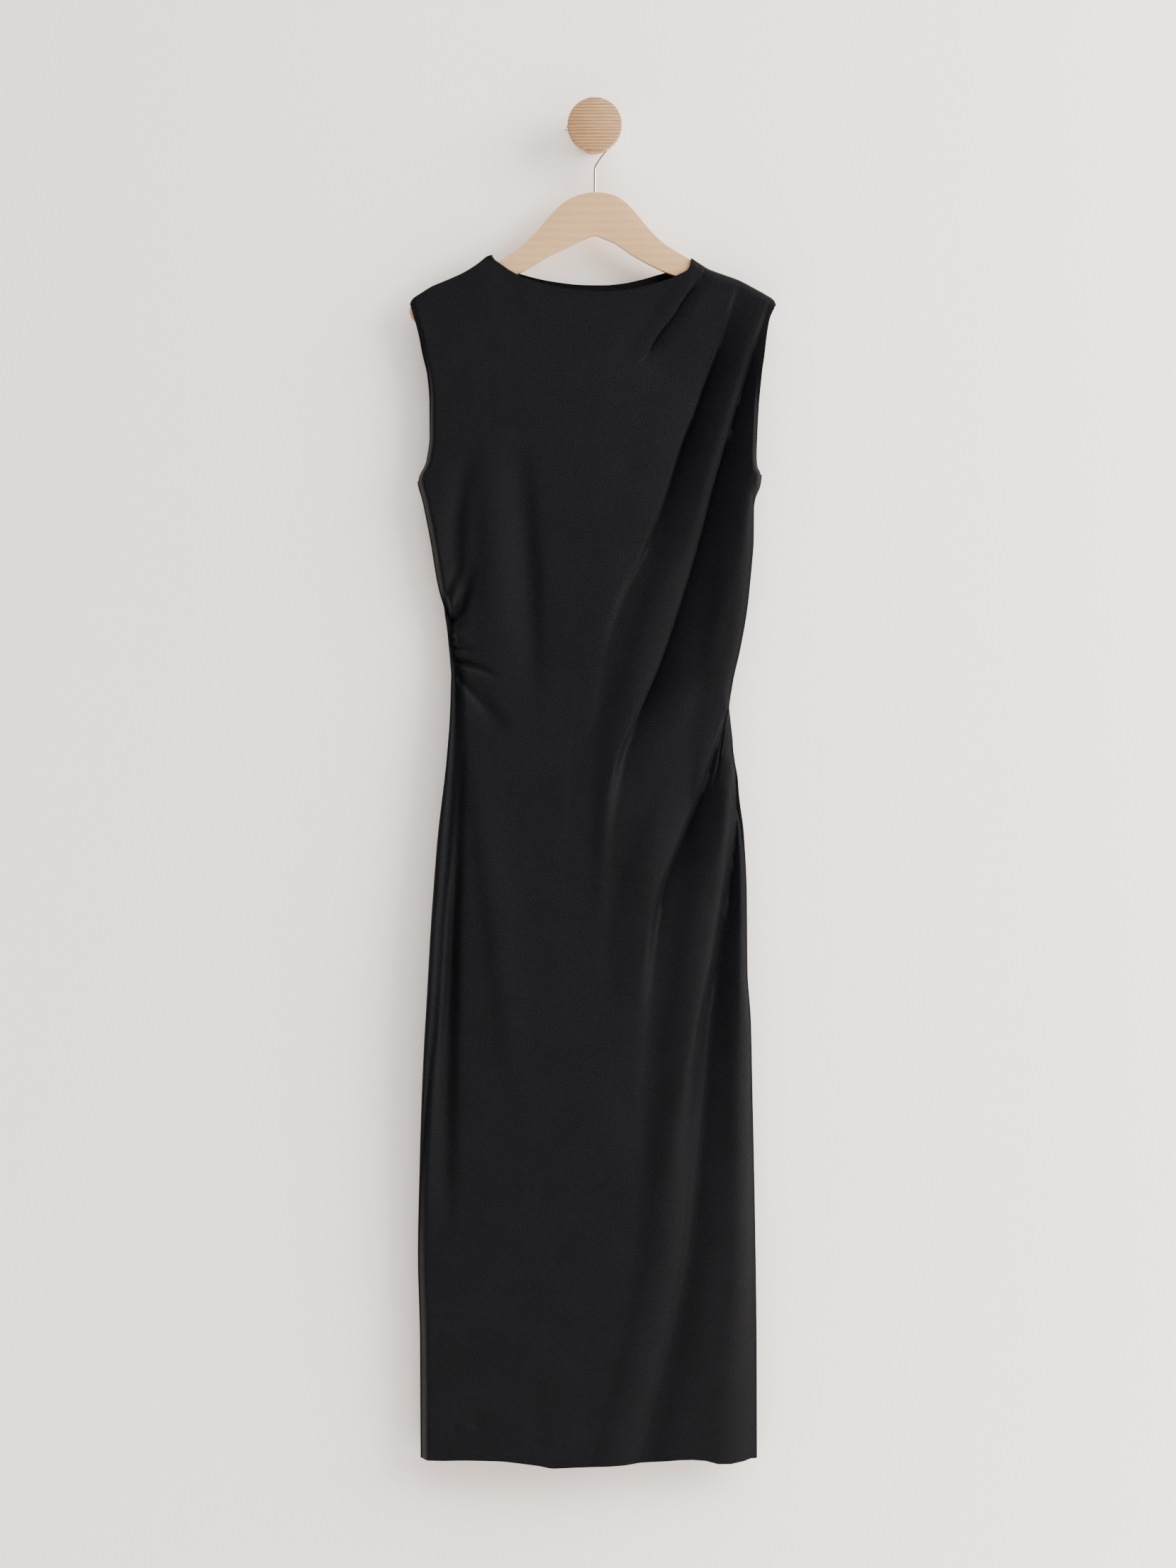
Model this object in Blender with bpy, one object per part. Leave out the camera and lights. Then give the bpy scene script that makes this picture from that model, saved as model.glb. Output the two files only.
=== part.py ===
"""Ruched column midi dress, hung on a wooden hanger from a round wall peg.

Every size below is in millimetres and is turned to metres as a mesh is made. X runs across
the dress, Y runs into the wall and Z runs up. The origin is the centre of the peg's flat back,
where it meets the wall. "Down" is the drop below that centre, "across" is the place along X,
and "off" is the distance off the wall.
"""
import math

import bmesh
import bpy
import numpy as np

MM = 0.001
SEAM_GAP = 0.3
CLOTH = 1.5

HANG_OFF = 30.0
HIP_TURN_OFF = 31.0
SIDE_TURN_OFF = 26.0
ARM_REACH = 9.0
ARM_FADE = (205.0, 372.0)
EDGE_CLEAR = 0.8
EDGE_FADE = (340.0, 372.0)
SIDE_POWER = 2.4
SIDE_ROOT = 0.46

UNDERARM_LEFT = 372.0
UNDERARM_RIGHT = 366.0
UNDERARM_RUN = 16.0
HEM_LEFT = 1406.0
HEM_RIGHT = 1404.5
WAIST_FADE = 560.0
HEM_RISE = 900.0
# The top edge's drop at each column is found in a few passes from this one
TOP_START = 170.0
TOP_PASSES = 12

# Lines that run down the front panel, as (down, across)
LEFT_SEAM = [
    (184.7, -195.5), (197, -192), (221, -185.6), (239, -182.2), (262, -177), (291, -174.8),
    (325, -174.8), (352, -178.4), (372, -186.6), (394, -181.3), (437, -172.7), (477, -166.2),
    (495, -162), (509, -156.5), (527, -153), (545, -151.6), (566, -148), (580, -146.4),
    (620, -146.3), (659, -147), (764, -153.8), (839, -160.5), (949, -168.4), (1004, -174.5),
    (1065, -180), (1131, -184.4), (1194, -185.6), (1280, -183.6), (1406, -183.1),
]
RIGHT_FACE = [
    (185.7, 191.8), (195, 187.5), (202, 184.7), (223, 181.1), (239, 179.3), (259, 176.5),
    (299, 173.3), (340, 171.5), (366, 170.7), (392, 169.4), (434, 168.5), (463, 166.2),
    (506, 161.9), (549, 154.5), (581, 147.2), (604, 143.4), (626, 144.7), (654, 147.2),
    (708, 152.4), (745, 157), (806, 160.1), (893, 161), (944, 164.5), (1022, 166.2),
    (1151, 168.8), (1280, 170.5), (1404.5, 170.9),
]
NECK_LEFT_LINE = [(134, -111), (185, -111), (300, -106), (420, -102), (500, -100), (575, -98),
                  (700, -106), (900, -116), (1410, -120)]
NECK_RIGHT_LINE = [(137, 103), (153, 102.6), (164, 96), (175, 83), (200, 60), (231, 40),
                   (270, 4), (330, -17), (420, -37), (520, -52), (700, -68), (900, -76),
                   (1410, -82)]
NECK_PLEAT_LINE = [(145, 115.5), (151, 113.5), (161, 107), (170, 101.3), (184, 90.8), (199, 81.8),
                   (219, 66), (239, 54), (269, 23.3), (330, 2), (420, -14), (520, -27),
                   (700, -42), (900, -48), (1410, -52)]
MIDDLE_PLEAT_LINE = [(159, 150), (172, 146.3), (189, 141), (203, 136.5), (241, 124.5),
                     (275, 111.8), (303, 102), (329, 91.5), (394, 70.5), (450, 48.8), (497, 23.3),
                     (570, 2), (700, -12), (900, -20), (1410, -24)]
SHOULDER_PLEAT_LINE = [(175, 181.3), (183, 180.4), (194, 177), (212, 171), (231, 164.3),
                       (267, 154.5), (303, 144), (344, 132), (386, 120), (428, 109.5),
                       (502, 87.8), (566, 66), (626, 40.5), (670, 23.3), (760, 10), (900, 4),
                       (1410, 2)]
HIP_FOLD_LINE = [(178, 185.5), (195, 182), (231, 174), (303, 167), (366, 167), (392, 168),
                 (434, 168.4), (463, 166.2), (506, 161.9), (549, 154.5), (581, 147.2),
                 (604, 142.9), (635, 130.5), (695, 109.5), (739, 92.3), (782, 75), (806, 66),
                 (871, 55.5), (936, 48.8), (1100, 38), (1200, 33), (1300, 27), (1410, 20)]
SIDE_FOLD_LINE = [(180, 188.6), (195, 184.8), (231, 177.5), (303, 170.3), (366, 169),
                  (392, 167.8), (434, 166.8), (506, 160), (549, 152.6), (581, 145.3), (604, 142),
                  (626, 144), (654, 146.6), (670, 146.6), (689, 144), (734, 141.8), (790, 136.3),
                  (850, 127), (878, 123), (936, 113.3), (1022, 105), (1108, 96.8), (1194, 87.8),
                  (1280, 70.5), (1367, 48.8), (1410, 38)]

GUIDE_LINES = {
    "left_seam": LEFT_SEAM,
    "neck_left": NECK_LEFT_LINE,
    "neck_right": NECK_RIGHT_LINE,
    "neck_pleat": NECK_PLEAT_LINE,
    "middle_pleat": MIDDLE_PLEAT_LINE,
    "shoulder_pleat": SHOULDER_PLEAT_LINE,
    "hip_fold": HIP_FOLD_LINE,
    "side_fold": SIDE_FOLD_LINE,
}
# How far the right seam lies inside the face's outline, as (down, inset)
RIGHT_TUCK = [(346, 0), (357, -1.2), (366, -5.2), (377, -4.4), (392, 0.4), (434, 4), (560, 5),
              (604, 4.6), (630, 4.4), (654, 2.2), (680, 0.9), (708, 1.6), (740, 0.4),
              (1410, 0.3)]
# The right seam's wall leans round while it is tucked in, by this many degrees
TUCK_FROM = (385.0, 430.0)
TUCK_TO = (620.0, 690.0)
TUCK_LEAN = 25.0
# How far the back panel stands out past each seam, as (down, width), and the widths over which
# the seam's wall turns from facing across to facing the wall
STRIP_TURNS = (1.0, 6.0)
LEFT_STRIP = [(372, 0.4), (495, 0.4), (520, 3.2), (545, 2.6), (570, 4.6), (620, 6.3), (659, 8.5),
              (764, 13.2), (840, 12), (949, 10.4), (1004, 7), (1065, 3.6), (1131, 0.8),
              (1410, 0.5)]
RIGHT_STRIP = [(352, 0.4), (430, 0.5), (670, 0.5), (690, 1.8), (708, 1.8), (740, 0.6),
               (1410, 0.5)]

# The front's top edge, from the left shoulder tip round the neck to the right one
FRONT_TOP = [
    (-195.5, 184.7), (-193.5, 180.7), (-184, 173.9), (-173, 167), (-159, 161), (-148, 156.3),
    (-137, 151), (-123, 142), (-111, 133.7), (-104.5, 140.5), (-93, 148.5), (-82.5, 155.8),
    (-68.8, 161), (-44.3, 167.8), (-12, 172.5), (7.8, 173.6), (27.7, 172.6), (49, 168.8),
    (67.5, 163.5), (85, 157.3), (95, 152.6), (99, 149), (101, 144.5), (101.8, 139.5), (103, 137),
]
FRONT_TOP_RIGHT = [(103, 137), (112, 143), (119.5, 147.7), (134, 153.3), (152.5, 160),
                   (166, 167), (180.4, 175), (189.8, 181.4), (191.8, 185.7)]
BACK_NECK = [(-111, 133.7), (-104, 139), (-92, 146.5), (-75, 153.5), (-44, 160.5), (-12, 164),
             (10, 164.3), (30, 162.5), (50, 158.3), (68, 153), (84, 148.5), (96, 143.6),
             (103, 137)]
HEM_DIP = [(-183, 1406), (-160, 1406.5), (-139.6, 1406.2), (-102, 1407), (-77.4, 1409.5),
           (-57.5, 1412.2), (-43.8, 1414.6), (-27.7, 1414), (-2.8, 1413), (29.6, 1411.6),
           (54.5, 1408.6), (79.3, 1406.8), (96.8, 1405.4), (114.2, 1406), (126.6, 1409.3),
           (136.5, 1410.6), (151.4, 1409), (166.4, 1406.5), (171, 1404.5)]

# Depth of the flattened tube of cloth, as (down, off the side seams)
FRONT_DEPTH = [(134, 8), (185, 10), (260, 14), (372, 16), (480, 15), (560, 14), (640, 15),
               (800, 18), (1000, 20), (1410, 18)]
BACK_DEPTH = [(134, 8), (185, 10), (260, 12), (372, 14), (480, 11), (560, 10), (640, 12),
              (800, 17), (1000, 18), (1410, 16)]
LEFT_SEAM_OFF = [(185, 30), (495, 30), (530, 32), (577, 34.5), (620, 35.5), (950, 35.5),
                 (1065, 33), (1131, 30), (1410, 30)]
RIGHT_SEAM_OFF = [(185, 30), (345, 30), (366, 29.5), (392, 26), (434, 21), (600, 21), (640, 23),
                  (680, 27.5), (720, 30), (1410, 30)]
# How far the hip fold and the side fold are turned round the right side, from 0 to 1
HIP_TURN = [(372, 0), (420, 1), (580, 1), (606, 0.35), (630, 0)]
SIDE_TURN = [(372, 0), (420, 1), (650, 1), (672, 0.5), (700, 0)]

# Folds whose left side lies over their right: line, then where each starts, is whole, begins
# to fade and ends, its height, the run of its slope and its edge's width at both ends
PLEATS = {
    "neck_pleat": (NECK_PLEAT_LINE, 145, 158, 205, 275, 4.0, 30, 2.4, 12),
    "middle_pleat": (MIDDLE_PLEAT_LINE, 159, 185, 400, 530, 6.0, 36, 2.4, 22),
    "shoulder_pleat": (SHOULDER_PLEAT_LINE, 175, 200, 590, 720, 7.0, 36, 2.4, 24),
    "hip_fold": (HIP_FOLD_LINE, 585, 660, 800, 980, 7.5, 44, 3.0, 26),
    "side_fold": (SIDE_FOLD_LINE, 640, 770, 1200, 1440, 7.0, 40, 3.0, 34),
}
VALLEY_SHARE = 0.35
VALLEY_RUN = 9.0
VALLEY_FROM = (215.0, 270.0)
SLOPE_POWER = 1.6
TOP_CLEAR = 14.0

# Troughs gathered into the left seam: start down the seam, bend and end as (across, down)
# from that start, depth and half width. They grow from the seam over GATHER_RUN
GATHER_RUN = 3.0
GATHER_FADE = 1.6
GATHERS = [
    (507, (3, -20), (18, -46), 3.0, 3.4),
    (521, (11, -12), (25, -62), 4.2, 4.2),
    (533, (6, -3), (20, -12), 2.0, 2.8),
    (541, (5, 0), (13, 2), 1.6, 2.2),
    (549, (8, 1), (22, 4), 2.2, 2.8),
    (563, (16, 4), (42, 17), 4.6, 3.6),
    (577, (9, 11), (36, 42), 3.0, 4.2),
]
# Soft troughs (positive) and ridges (negative) that hang in the front and the back: a curve
# of three (across, down) points, depth and half width
DRAPE_RUN = 12.0
DRAPE_FADE = 0.7
FRONT_DRAPES = [
    (((-66, 330), (-68, 460), (-70, 600)), 3.2, 17),
    (((-112, 310), (-108, 440), (-112, 545)), -2.6, 17),
    (((-126, 380), (-136, 440), (-130, 500)), 2.4, 9),
    (((-128, 592), (-112, 615), (-96, 640)), 1.8, 11),
    (((-138, 670), (-140, 800), (-149, 1160)), 3.0, 12),
    (((-117, 790), (-117, 870), (-118, 950)), 1.4, 9),
    (((-94, 720), (-92, 850), (-96, 1000)), -1.6, 18),
    (((96, 700), (112, 560), (128, 430)), 2.0, 13),
    (((146, 860), (150, 1050), (152, 1300)), -2.2, 13),
]
BACK_DRAPES = [
    (((-70, 420), (-64, 560), (-82, 760)), -2.6, 17),
    (((52, 430), (46, 580), (70, 800)), -2.4, 16),
    (((-20, 500), (-14, 700), (-10, 980)), -2.2, 18),
    (((-96, 900), (-100, 1150), (-98, 1400)), -2.4, 20),
    (((88, 940), (92, 1150), (90, 1400)), -2.6, 20),
    (((10, 1000), (4, 1200), (6, 1410)), 1.8, 22),
]

# Rows of the cloth: from and to down the left side, from and to down the right, and how many
BANDS = [
    (184.7, 186.0, 185.7, 187.0, 1),
    (186.0, 188.6, 187.0, 189.6, 1),
    (188.6, 200.0, 189.6, 201.0, 2),
    (200.0, 240.0, 201.0, 240.0, 3),
    (240.0, 372.0, 240.0, 366.0, 4),
    (372.0, 495.0, 366.0, 440.0, 4),
    (495.0, 581.0, 440.0, 640.0, 14),
    (581.0, 640.0, 640.0, 705.0, 2),
    (640.0, 900.0, 705.0, 900.0, 5),
    (900.0, 1370.0, 900.0, 1370.0, 6),
    (1370.0, HEM_LEFT, 1370.0, HEM_RIGHT, 1),
]
# Guides across the front: line, share of the way from left to right, offsets of the columns
# that shape a pleat's edge, and how many plain columns follow it
EDGE_STEPS = (-7.0, -1.2, 1.0, 3.0, 9.0)
GUIDES = [
    ("left_seam", 0.0, (0.0,), 7),
    ("neck_left", 0.15, (0.0, 1.4, 6.0), 5),
    ("neck_right", 0.38, (-4.0, -1.2, 0.0), 0),
    ("neck_pleat", 0.46, EDGE_STEPS, 1),
    ("middle_pleat", 0.60, EDGE_STEPS, 1),
    ("shoulder_pleat", 0.74, EDGE_STEPS, 3),
    ("hip_fold", 0.90, EDGE_STEPS, 1),
    ("side_fold", 0.95, EDGE_STEPS, 3),
    ("right_seam", 1.0, (0.0,), 0),
]
EDGE_ROOM = 24.0
SEAM_CROWD = 1.5
BACK_TURN = 5
BACK_TURN_REACH = 11.0
# The back's plain columns: place across at the top and below the waist
BACK_LINES = [(-168, -122), (-140, -112), (-111, -102), (-109.6, -92), (-104, -78), (-78, -58),
              (-42, -34), (-4, -6), (34, 22), (68, 50), (99, 72), (101.8, 84), (103, 95),
              (138, 106), (164, 116)]
BACK_SETTLE = (134.0, 640.0)

# Hanger: down to its top and its lower edge, by the distance along each arm
ARM_LEFT = [(0, 67.7, 112.7), (11, 69.2, 117), (21.8, 72.6, 122), (35.2, 80.6, 128.5),
            (48.5, 93.9, 135), (59.3, 107, 141.5), (70, 118, 147.5), (80.7, 127.3, 153.2),
            (91.4, 134.6, 158.5), (103.4, 142, 163.5), (123, 151, 171), (137, 155.4, 177),
            (159, 164.6, 188), (173, 171, 196), (182, 176.8, 202), (187, 182.4, 205)]
ARM_RIGHT = [(0, 67.7, 112.7), (11, 68.7, 117), (21, 71.3, 121), (31.8, 77.9, 128.5),
             (42.5, 88.7, 135.6), (53.3, 102, 141.5), (64, 114, 147), (74.7, 123.3, 152),
             (88, 131.7, 157), (97, 137, 160.5), (103, 141, 163), (112, 147, 166.5),
             (119.5, 151.2, 169), (134, 157, 175), (152.5, 163.9, 184), (166, 170.8, 191),
             (175, 176.4, 196), (180, 181.8, 199)]
ARM_END_LEFT = (195.5, 198.5)
ARM_END_RIGHT = (188.3, 194.5)
HANGER_THICK = 11.0
HANGER_EDGE = 2.6

WIRE_RADIUS = 1.5
BALL_RADIUS = 2.65
WIRE_SIDES = 8
WIRE_SEAT = 12.0
BORE_SLACK = 0.3
HOOK_CENTRE = (-1.2, 5.2)
HOOK_RADIUS = 25.5
HOOK_TIP = (-29.0, -0.4)

# Turned peg: off the wall, radius
PEG_PROFILE = [(0, 22), (3, 22), (9, 20.2), (18, 18.7), (26, 18.3), (34, 18.3), (38, 19.2),
               (41, 22.5), (42.5, 26.5), (43.6, 28.2), (45.2, 28.6), (57.6, 28.6), (59.3, 27.9),
               (60, 26.6)]
PEG_SIDES = 40


def follow(rows, at):
    """Places on a smooth line through (key, value) rows, held level past both ends."""
    keys, values = (np.array(column, float) for column in zip(*rows))
    at = np.clip(np.asarray(at, float), keys[0], keys[-1])
    step = np.diff(keys)
    slope = np.diff(values) / step
    lean = np.empty_like(values)
    lean[0], lean[-1] = slope[0], slope[-1]
    before, after = slope[:-1], slope[1:]
    same = before * after > 0
    total = np.where(same, before + after, 1.0)
    lean[1:-1] = np.where(same, 2 * before * after / total, 0.0)
    spot = np.clip(np.searchsorted(keys, at, side="right") - 1, 0, len(step) - 1)
    share = (at - keys[spot]) / step[spot]
    rest = 1 - share
    ends = values[spot] * rest * rest * (1 + 2 * share)
    ends += values[spot + 1] * share * share * (3 - 2 * share)
    bends = lean[spot] * share * rest * rest - lean[spot + 1] * share * share * rest
    return ends + bends * step[spot]


def ease(start, stop, at):
    """Rises softly from 0 at start to 1 at stop."""
    share = np.clip((np.asarray(at, float) - start) / (stop - start), 0.0, 1.0)
    return share * share * (3 - 2 * share)


def larger(one, other, blend=2.0):
    """The larger of two fields, with a soft change from one to the other."""
    return 0.5 * (one + other + np.sqrt((one - other) ** 2 + blend * blend))


def right_seam(down):
    return follow(RIGHT_FACE, down) - follow(RIGHT_TUCK, down)


def line_across(name, down):
    """Where a named guide line of the front runs at this drop."""
    return right_seam(down) if name == "right_seam" else follow(GUIDE_LINES[name], down)


def front_columns():
    """One entry a column: guide before it, offset from that guide or share to the next."""
    columns = []
    for number, (name, share, offsets, plain) in enumerate(GUIDES):
        columns += [(number, offset, None) for offset in offsets]
        shares = [(step + 1) / (plain + 1) for step in range(plain)]
        if name == "left_seam":
            shares = [value ** SEAM_CROWD for value in shares]
        columns += [(number, 0.0, value) for value in shares]
    return columns


def edge_offset(number, offset, down):
    """A pleat column's offset, drawn in where its neighbours are close."""
    if offset == 0.0:
        return 0.0
    other = number + (1 if offset > 0 else -1)
    room = line_across(GUIDES[other][0], down) - line_across(GUIDES[number][0], down)
    room = room if offset > 0 else -room
    return offset * np.clip(room / EDGE_ROOM, -1.0, 1.0)


def column_across(column, down):
    """Where a column of the front runs at this drop."""
    number, offset, share = column
    here = line_across(GUIDES[number][0], down)
    if share is None:
        return here + edge_offset(number, offset, down)
    after = line_across(GUIDES[number + 1][0], down)
    start = here + edge_offset(number, GUIDES[number][2][-1], down)
    stop = after + edge_offset(number + 1, GUIDES[number + 1][2][0], down)
    return start + (stop - start) * share


def column_share(column):
    """A column's share of the way across, which fans the rows out."""
    number, offset, share = column
    here = GUIDES[number][1]
    if share is not None:
        return here + (GUIDES[number + 1][1] - here) * share
    if offset == 0.0:
        return here
    other = GUIDES[number + (1 if offset > 0 else -1)][1]
    return here + (other - here) * abs(offset) / EDGE_ROOM


def band_rows():
    """Drops of each row at the left and the right side."""
    left, right = [BANDS[0][0]], [BANDS[0][2]]
    for from_left, to_left, from_right, to_right, count in BANDS:
        for step in range(1, count + 1):
            left.append(from_left + (to_left - from_left) * step / count)
            right.append(from_right + (to_right - from_right) * step / count)
    return np.array(left), np.array(right)


def front_top(across):
    """Drop of the front's top edge: left shoulder, neck, right shoulder."""
    right = follow(FRONT_TOP_RIGHT, across)
    return np.where(across >= FRONT_TOP_RIGHT[0][0], right, follow(FRONT_TOP, across))


def back_top(across):
    """Drop of the back's top edge, which stands higher at the neck than the front's."""
    inside = (across > BACK_NECK[0][0]) & (across < BACK_NECK[-1][0])
    return np.where(inside, follow(BACK_NECK, across), front_top(across))


def sheet_downs(across_at, shares, top_edge):
    """Drops of every point of a panel, with rows that fan from side to side."""
    left, right = band_rows()
    shares = np.array(shares)
    tops = np.full(len(shares), TOP_START)
    for _ in range(TOP_PASSES):
        tops = 0.5 * tops + 0.5 * top_edge(across_at(tops))
    tops[0], tops[-1] = left[0], right[0]
    level = left[:, None] * (1 - shares) + right[:, None] * shares
    hems = follow(HEM_DIP, across_at(np.full(len(shares), HEM_LEFT)))
    fade = 1 - ease(left[0], WAIST_FADE, left)[:, None]
    rise = ease(HEM_RISE, HEM_LEFT, left)[:, None]
    return level + (tops - level[0]) * fade + (hems - level[-1]) * rise


def arm_cover(across, down):
    """How far the cloth stands off where it lies over the hanger's arms."""
    below = np.clip(down - shoulder_line(across), 0.0, ARM_REACH) / ARM_REACH
    roll = ARM_REACH * np.sqrt(np.clip(1 - (1 - below) ** 2, 0.0, 1.0))
    return roll * (1 - ease(*ARM_FADE, down)) + EDGE_CLEAR * (1 - ease(*EDGE_FADE, down))


def shoulder_line(across):
    """Drop of the shoulder's top, carried on over the hanger between the neck's ends."""
    inside = (across > FRONT_TOP[8][0]) & (across < FRONT_TOP_RIGHT[0][0])
    return np.where(inside, follow(BACK_NECK, across) - ARM_REACH * 0.5, front_top(across))


def tube_depth(across, down, left, right, depths):
    """Depth of the flattened tube between its two sides."""
    share = np.clip((across - left) / (right - left), 0.0, 1.0)
    crown = 1 - np.abs(2 * share - 1) ** SIDE_POWER
    return follow(depths, down) * np.clip(crown, 0.0, 1.0) ** SIDE_ROOT, share


def trough(points, depth, width, across, down):
    """A soft trough (or a ridge, if depth is negative) along a curve of three points."""
    start, bend, stop = (np.array(point, float) for point in points)
    steps = np.linspace(0.0, 1.0, 13)[:, None]
    line = start * (1 - steps) ** 2 + (2 * bend - 0.5 * (start + stop)) * 2 * steps * (
        1 - steps) + stop * steps ** 2
    best = np.full(across.shape, 1e9)
    along = np.zeros(across.shape)
    for number in range(len(line) - 1):
        here, run = line[number], line[number + 1] - line[number]
        share = ((across - here[0]) * run[0] + (down - here[1]) * run[1]) / (run @ run)
        share = np.clip(share, 0.0, 1.0)
        gap = np.hypot(across - here[0] - run[0] * share, down - here[1] - run[1] * share)
        along = np.where(gap < best, (number + share) / (len(line) - 1), along)
        best = np.minimum(gap, best)
    return depth * np.exp(-(best / width) ** 2), along


def gather_field(across, down):
    """Troughs that start deep in the left seam and die away in the cloth."""
    field = np.zeros(across.shape)
    for start_down, bend, stop, depth, width in GATHERS:
        seam = float(follow(LEFT_SEAM, start_down))
        points = [(seam, start_down), (seam + bend[0], start_down + bend[1]),
                  (seam + stop[0], start_down + stop[1])]
        dip, along = trough(points, depth, width, across, down)
        field += dip * (1 - along ** GATHER_FADE)
    return field


def drape_field(drapes, across, down):
    """Long soft troughs and ridges that fade at both ends."""
    field = np.zeros(across.shape)
    for points, depth, width in drapes:
        dip, along = trough(points, depth, width, across, down)
        field += dip * np.sin(math.pi * np.clip(along, 0.02, 0.98)) ** DRAPE_FADE
    return field


def pleat_field(across, down, clear):
    """Height of the pleats and folds, each a slow slope up to an edge that drops away."""
    field = np.zeros(across.shape)
    for line, start, whole, fade, stop, height, run, crisp, soft in PLEATS.values():
        life = ease(start, whole, down) * (1 - ease(fade, stop, down))
        edge = crisp + (soft - crisp) * ease(start + 0.4 * (stop - start), stop, down)
        past = across - follow(line, down)
        slope = np.clip(1 + past / run, 0.0, 1.0) ** SLOPE_POWER
        drop = 1 - ease(0.0, 1.0, past / edge)
        valley = np.exp(-((past - edge) / VALLEY_RUN) ** 2) * ease(0.0, 1.0, past / edge)
        valley = valley * ease(*VALLEY_FROM, down)
        field += height * life * (np.where(past < 0, slope, drop) - VALLEY_SHARE * valley)
    return field * ease(0.0, TOP_CLEAR, clear)


def front_points():
    """Outer points of the front panel, as an array of rows, columns and (x, y, z)."""
    columns = front_columns()
    shares = [column_share(column) for column in columns]

    def across_at(downs):
        return np.array([float(column_across(column, down))
                         for column, down in zip(columns, downs)])

    down = sheet_downs(across_at, shares, front_top)
    across = np.stack([column_across(column, down[:, number])
                       for number, column in enumerate(columns)], axis=1)
    left = follow(LEFT_SEAM, down)
    right = np.maximum(follow(RIGHT_FACE, down), right_seam(down))
    depth, share = tube_depth(across, down, left, right, FRONT_DEPTH)
    side_off = follow(LEFT_SEAM_OFF, down) * (1 - share) + HANG_OFF * share
    body = larger(arm_cover(across, down), depth) - larger(0.0, 0.0)
    off = side_off + body
    off += pleat_field(across, down, down - down[0])
    off -= gather_field(across, down) * np.clip((across - left) / GATHER_RUN, 0.0, 1.0)
    off -= drape_field(FRONT_DRAPES, across, down) * ease(0.0, DRAPE_RUN, across - left)
    off = turned_off(columns, down, off)
    off[0] = HANG_OFF + np.where(on_shoulder(across[0]), SEAM_GAP / 2, off[0] - HANG_OFF)
    return np.stack([across, -off, -down], axis=2)


def turned_off(columns, down, off):
    """Distance off the wall, with the right side's columns turned round to their seam."""
    hip = next(n for n, row in enumerate(GUIDES) if row[0] == "hip_fold")
    off = off.copy()
    for number, column in enumerate(columns):
        if column[0] < hip:
            continue
        line = down[:, number]
        past = (column_share(column) - GUIDES[hip][1]) / (1 - GUIDES[hip][1])
        turns = [follow(HIP_TURN, line), follow(SIDE_TURN, line),
                 ease(UNDERARM_RIGHT - UNDERARM_RUN, UNDERARM_RIGHT, line)]
        offs = [np.full(len(line), HIP_TURN_OFF), np.full(len(line), SIDE_TURN_OFF),
                follow(RIGHT_SEAM_OFF, line)]
        first = min(1, int(2 * past)) if past >= 0 else 0
        part = np.clip(2 * past - first, 0.0, 1.0)
        turn = turns[first] * (1 - part) + turns[first + 1] * part
        if first == 1 and number < len(columns) - 1:
            turn = np.minimum(turn, turns[1])
        goal = offs[first] * (1 - part) + offs[first + 1] * part
        off[:, number] = off[:, number] * (1 - turn) + goal * turn
    return off


def on_shoulder(across):
    """Whether a point of the top edge lies in a shoulder seam and not at the neck."""
    return (across <= FRONT_TOP[8][0] + 0.01) | (across >= FRONT_TOP_RIGHT[0][0] - 0.01)


def back_plain(down):
    """Places across of the back's plain columns, for a drop at each."""
    tops, lows = (np.array(column, float) for column in zip(*BACK_LINES))
    return tops + (lows - tops) * ease(*BACK_SETTLE, down)


def back_across(downs):
    """Rough places across of every column of the back, which set its rows' drops."""
    left, right = follow(LEFT_SEAM, downs), right_seam(downs)
    step = BACK_TURN_REACH * np.linspace(0.0, 1.0, BACK_TURN)
    return np.concatenate([left[:BACK_TURN] + step, back_plain(downs[BACK_TURN:-BACK_TURN]),
                           right[-BACK_TURN:] - step[::-1]])


def back_points():
    """Outer points of the back panel, from the left seam round to the right one."""
    start = back_across(np.full(len(BACK_LINES) + 2 * BACK_TURN, BACK_SETTLE[1]))
    shares = (start - start[0]) / (start[-1] - start[0])
    down = sheet_downs(back_across, shares, back_top)
    points = np.empty(down.shape + (3,))
    for row, line in enumerate(down):
        across, off = back_row(line)
        if row == 0:
            off = np.where(on_shoulder(across), HANG_OFF - SEAM_GAP / 2, off)
        points[row] = np.stack([across, -off, -line], axis=1)
    return points


def back_row(down):
    """Across and off of one row of the back: a turn, the plain run and another turn."""
    left, right = follow(LEFT_SEAM, down), right_seam(down)
    out_left = left - follow(LEFT_STRIP, down)
    out_right = right + follow(RIGHT_STRIP, down)
    across = back_across(down)
    off = back_off(across, down, out_left, out_right)
    for side, part in ((-1, slice(0, BACK_TURN)), (1, slice(-BACK_TURN, None))):
        line = down[part]
        seam, out = (left, out_left) if side < 0 else (right, out_right)
        seam_off = LEFT_SEAM_OFF if side < 0 else RIGHT_SEAM_OFF
        sewn = line >= (UNDERARM_LEFT if side < 0 else UNDERARM_RIGHT) - 1.0
        stop = seam - side * BACK_TURN_REACH
        stop_off = back_off(stop, down, out_left, out_right)[part]
        edge = follow(seam_off, line)
        step = np.linspace(0.0, 1.0, BACK_TURN)[::-side]
        round_across, round_off = turned_edge(step, seam[part], out[part], stop[part], edge,
                                              stop_off)
        across[part] = np.where(sewn, round_across, across[part])
        off[part] = np.where(sewn, round_off, off[part])
    return across, off


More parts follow.
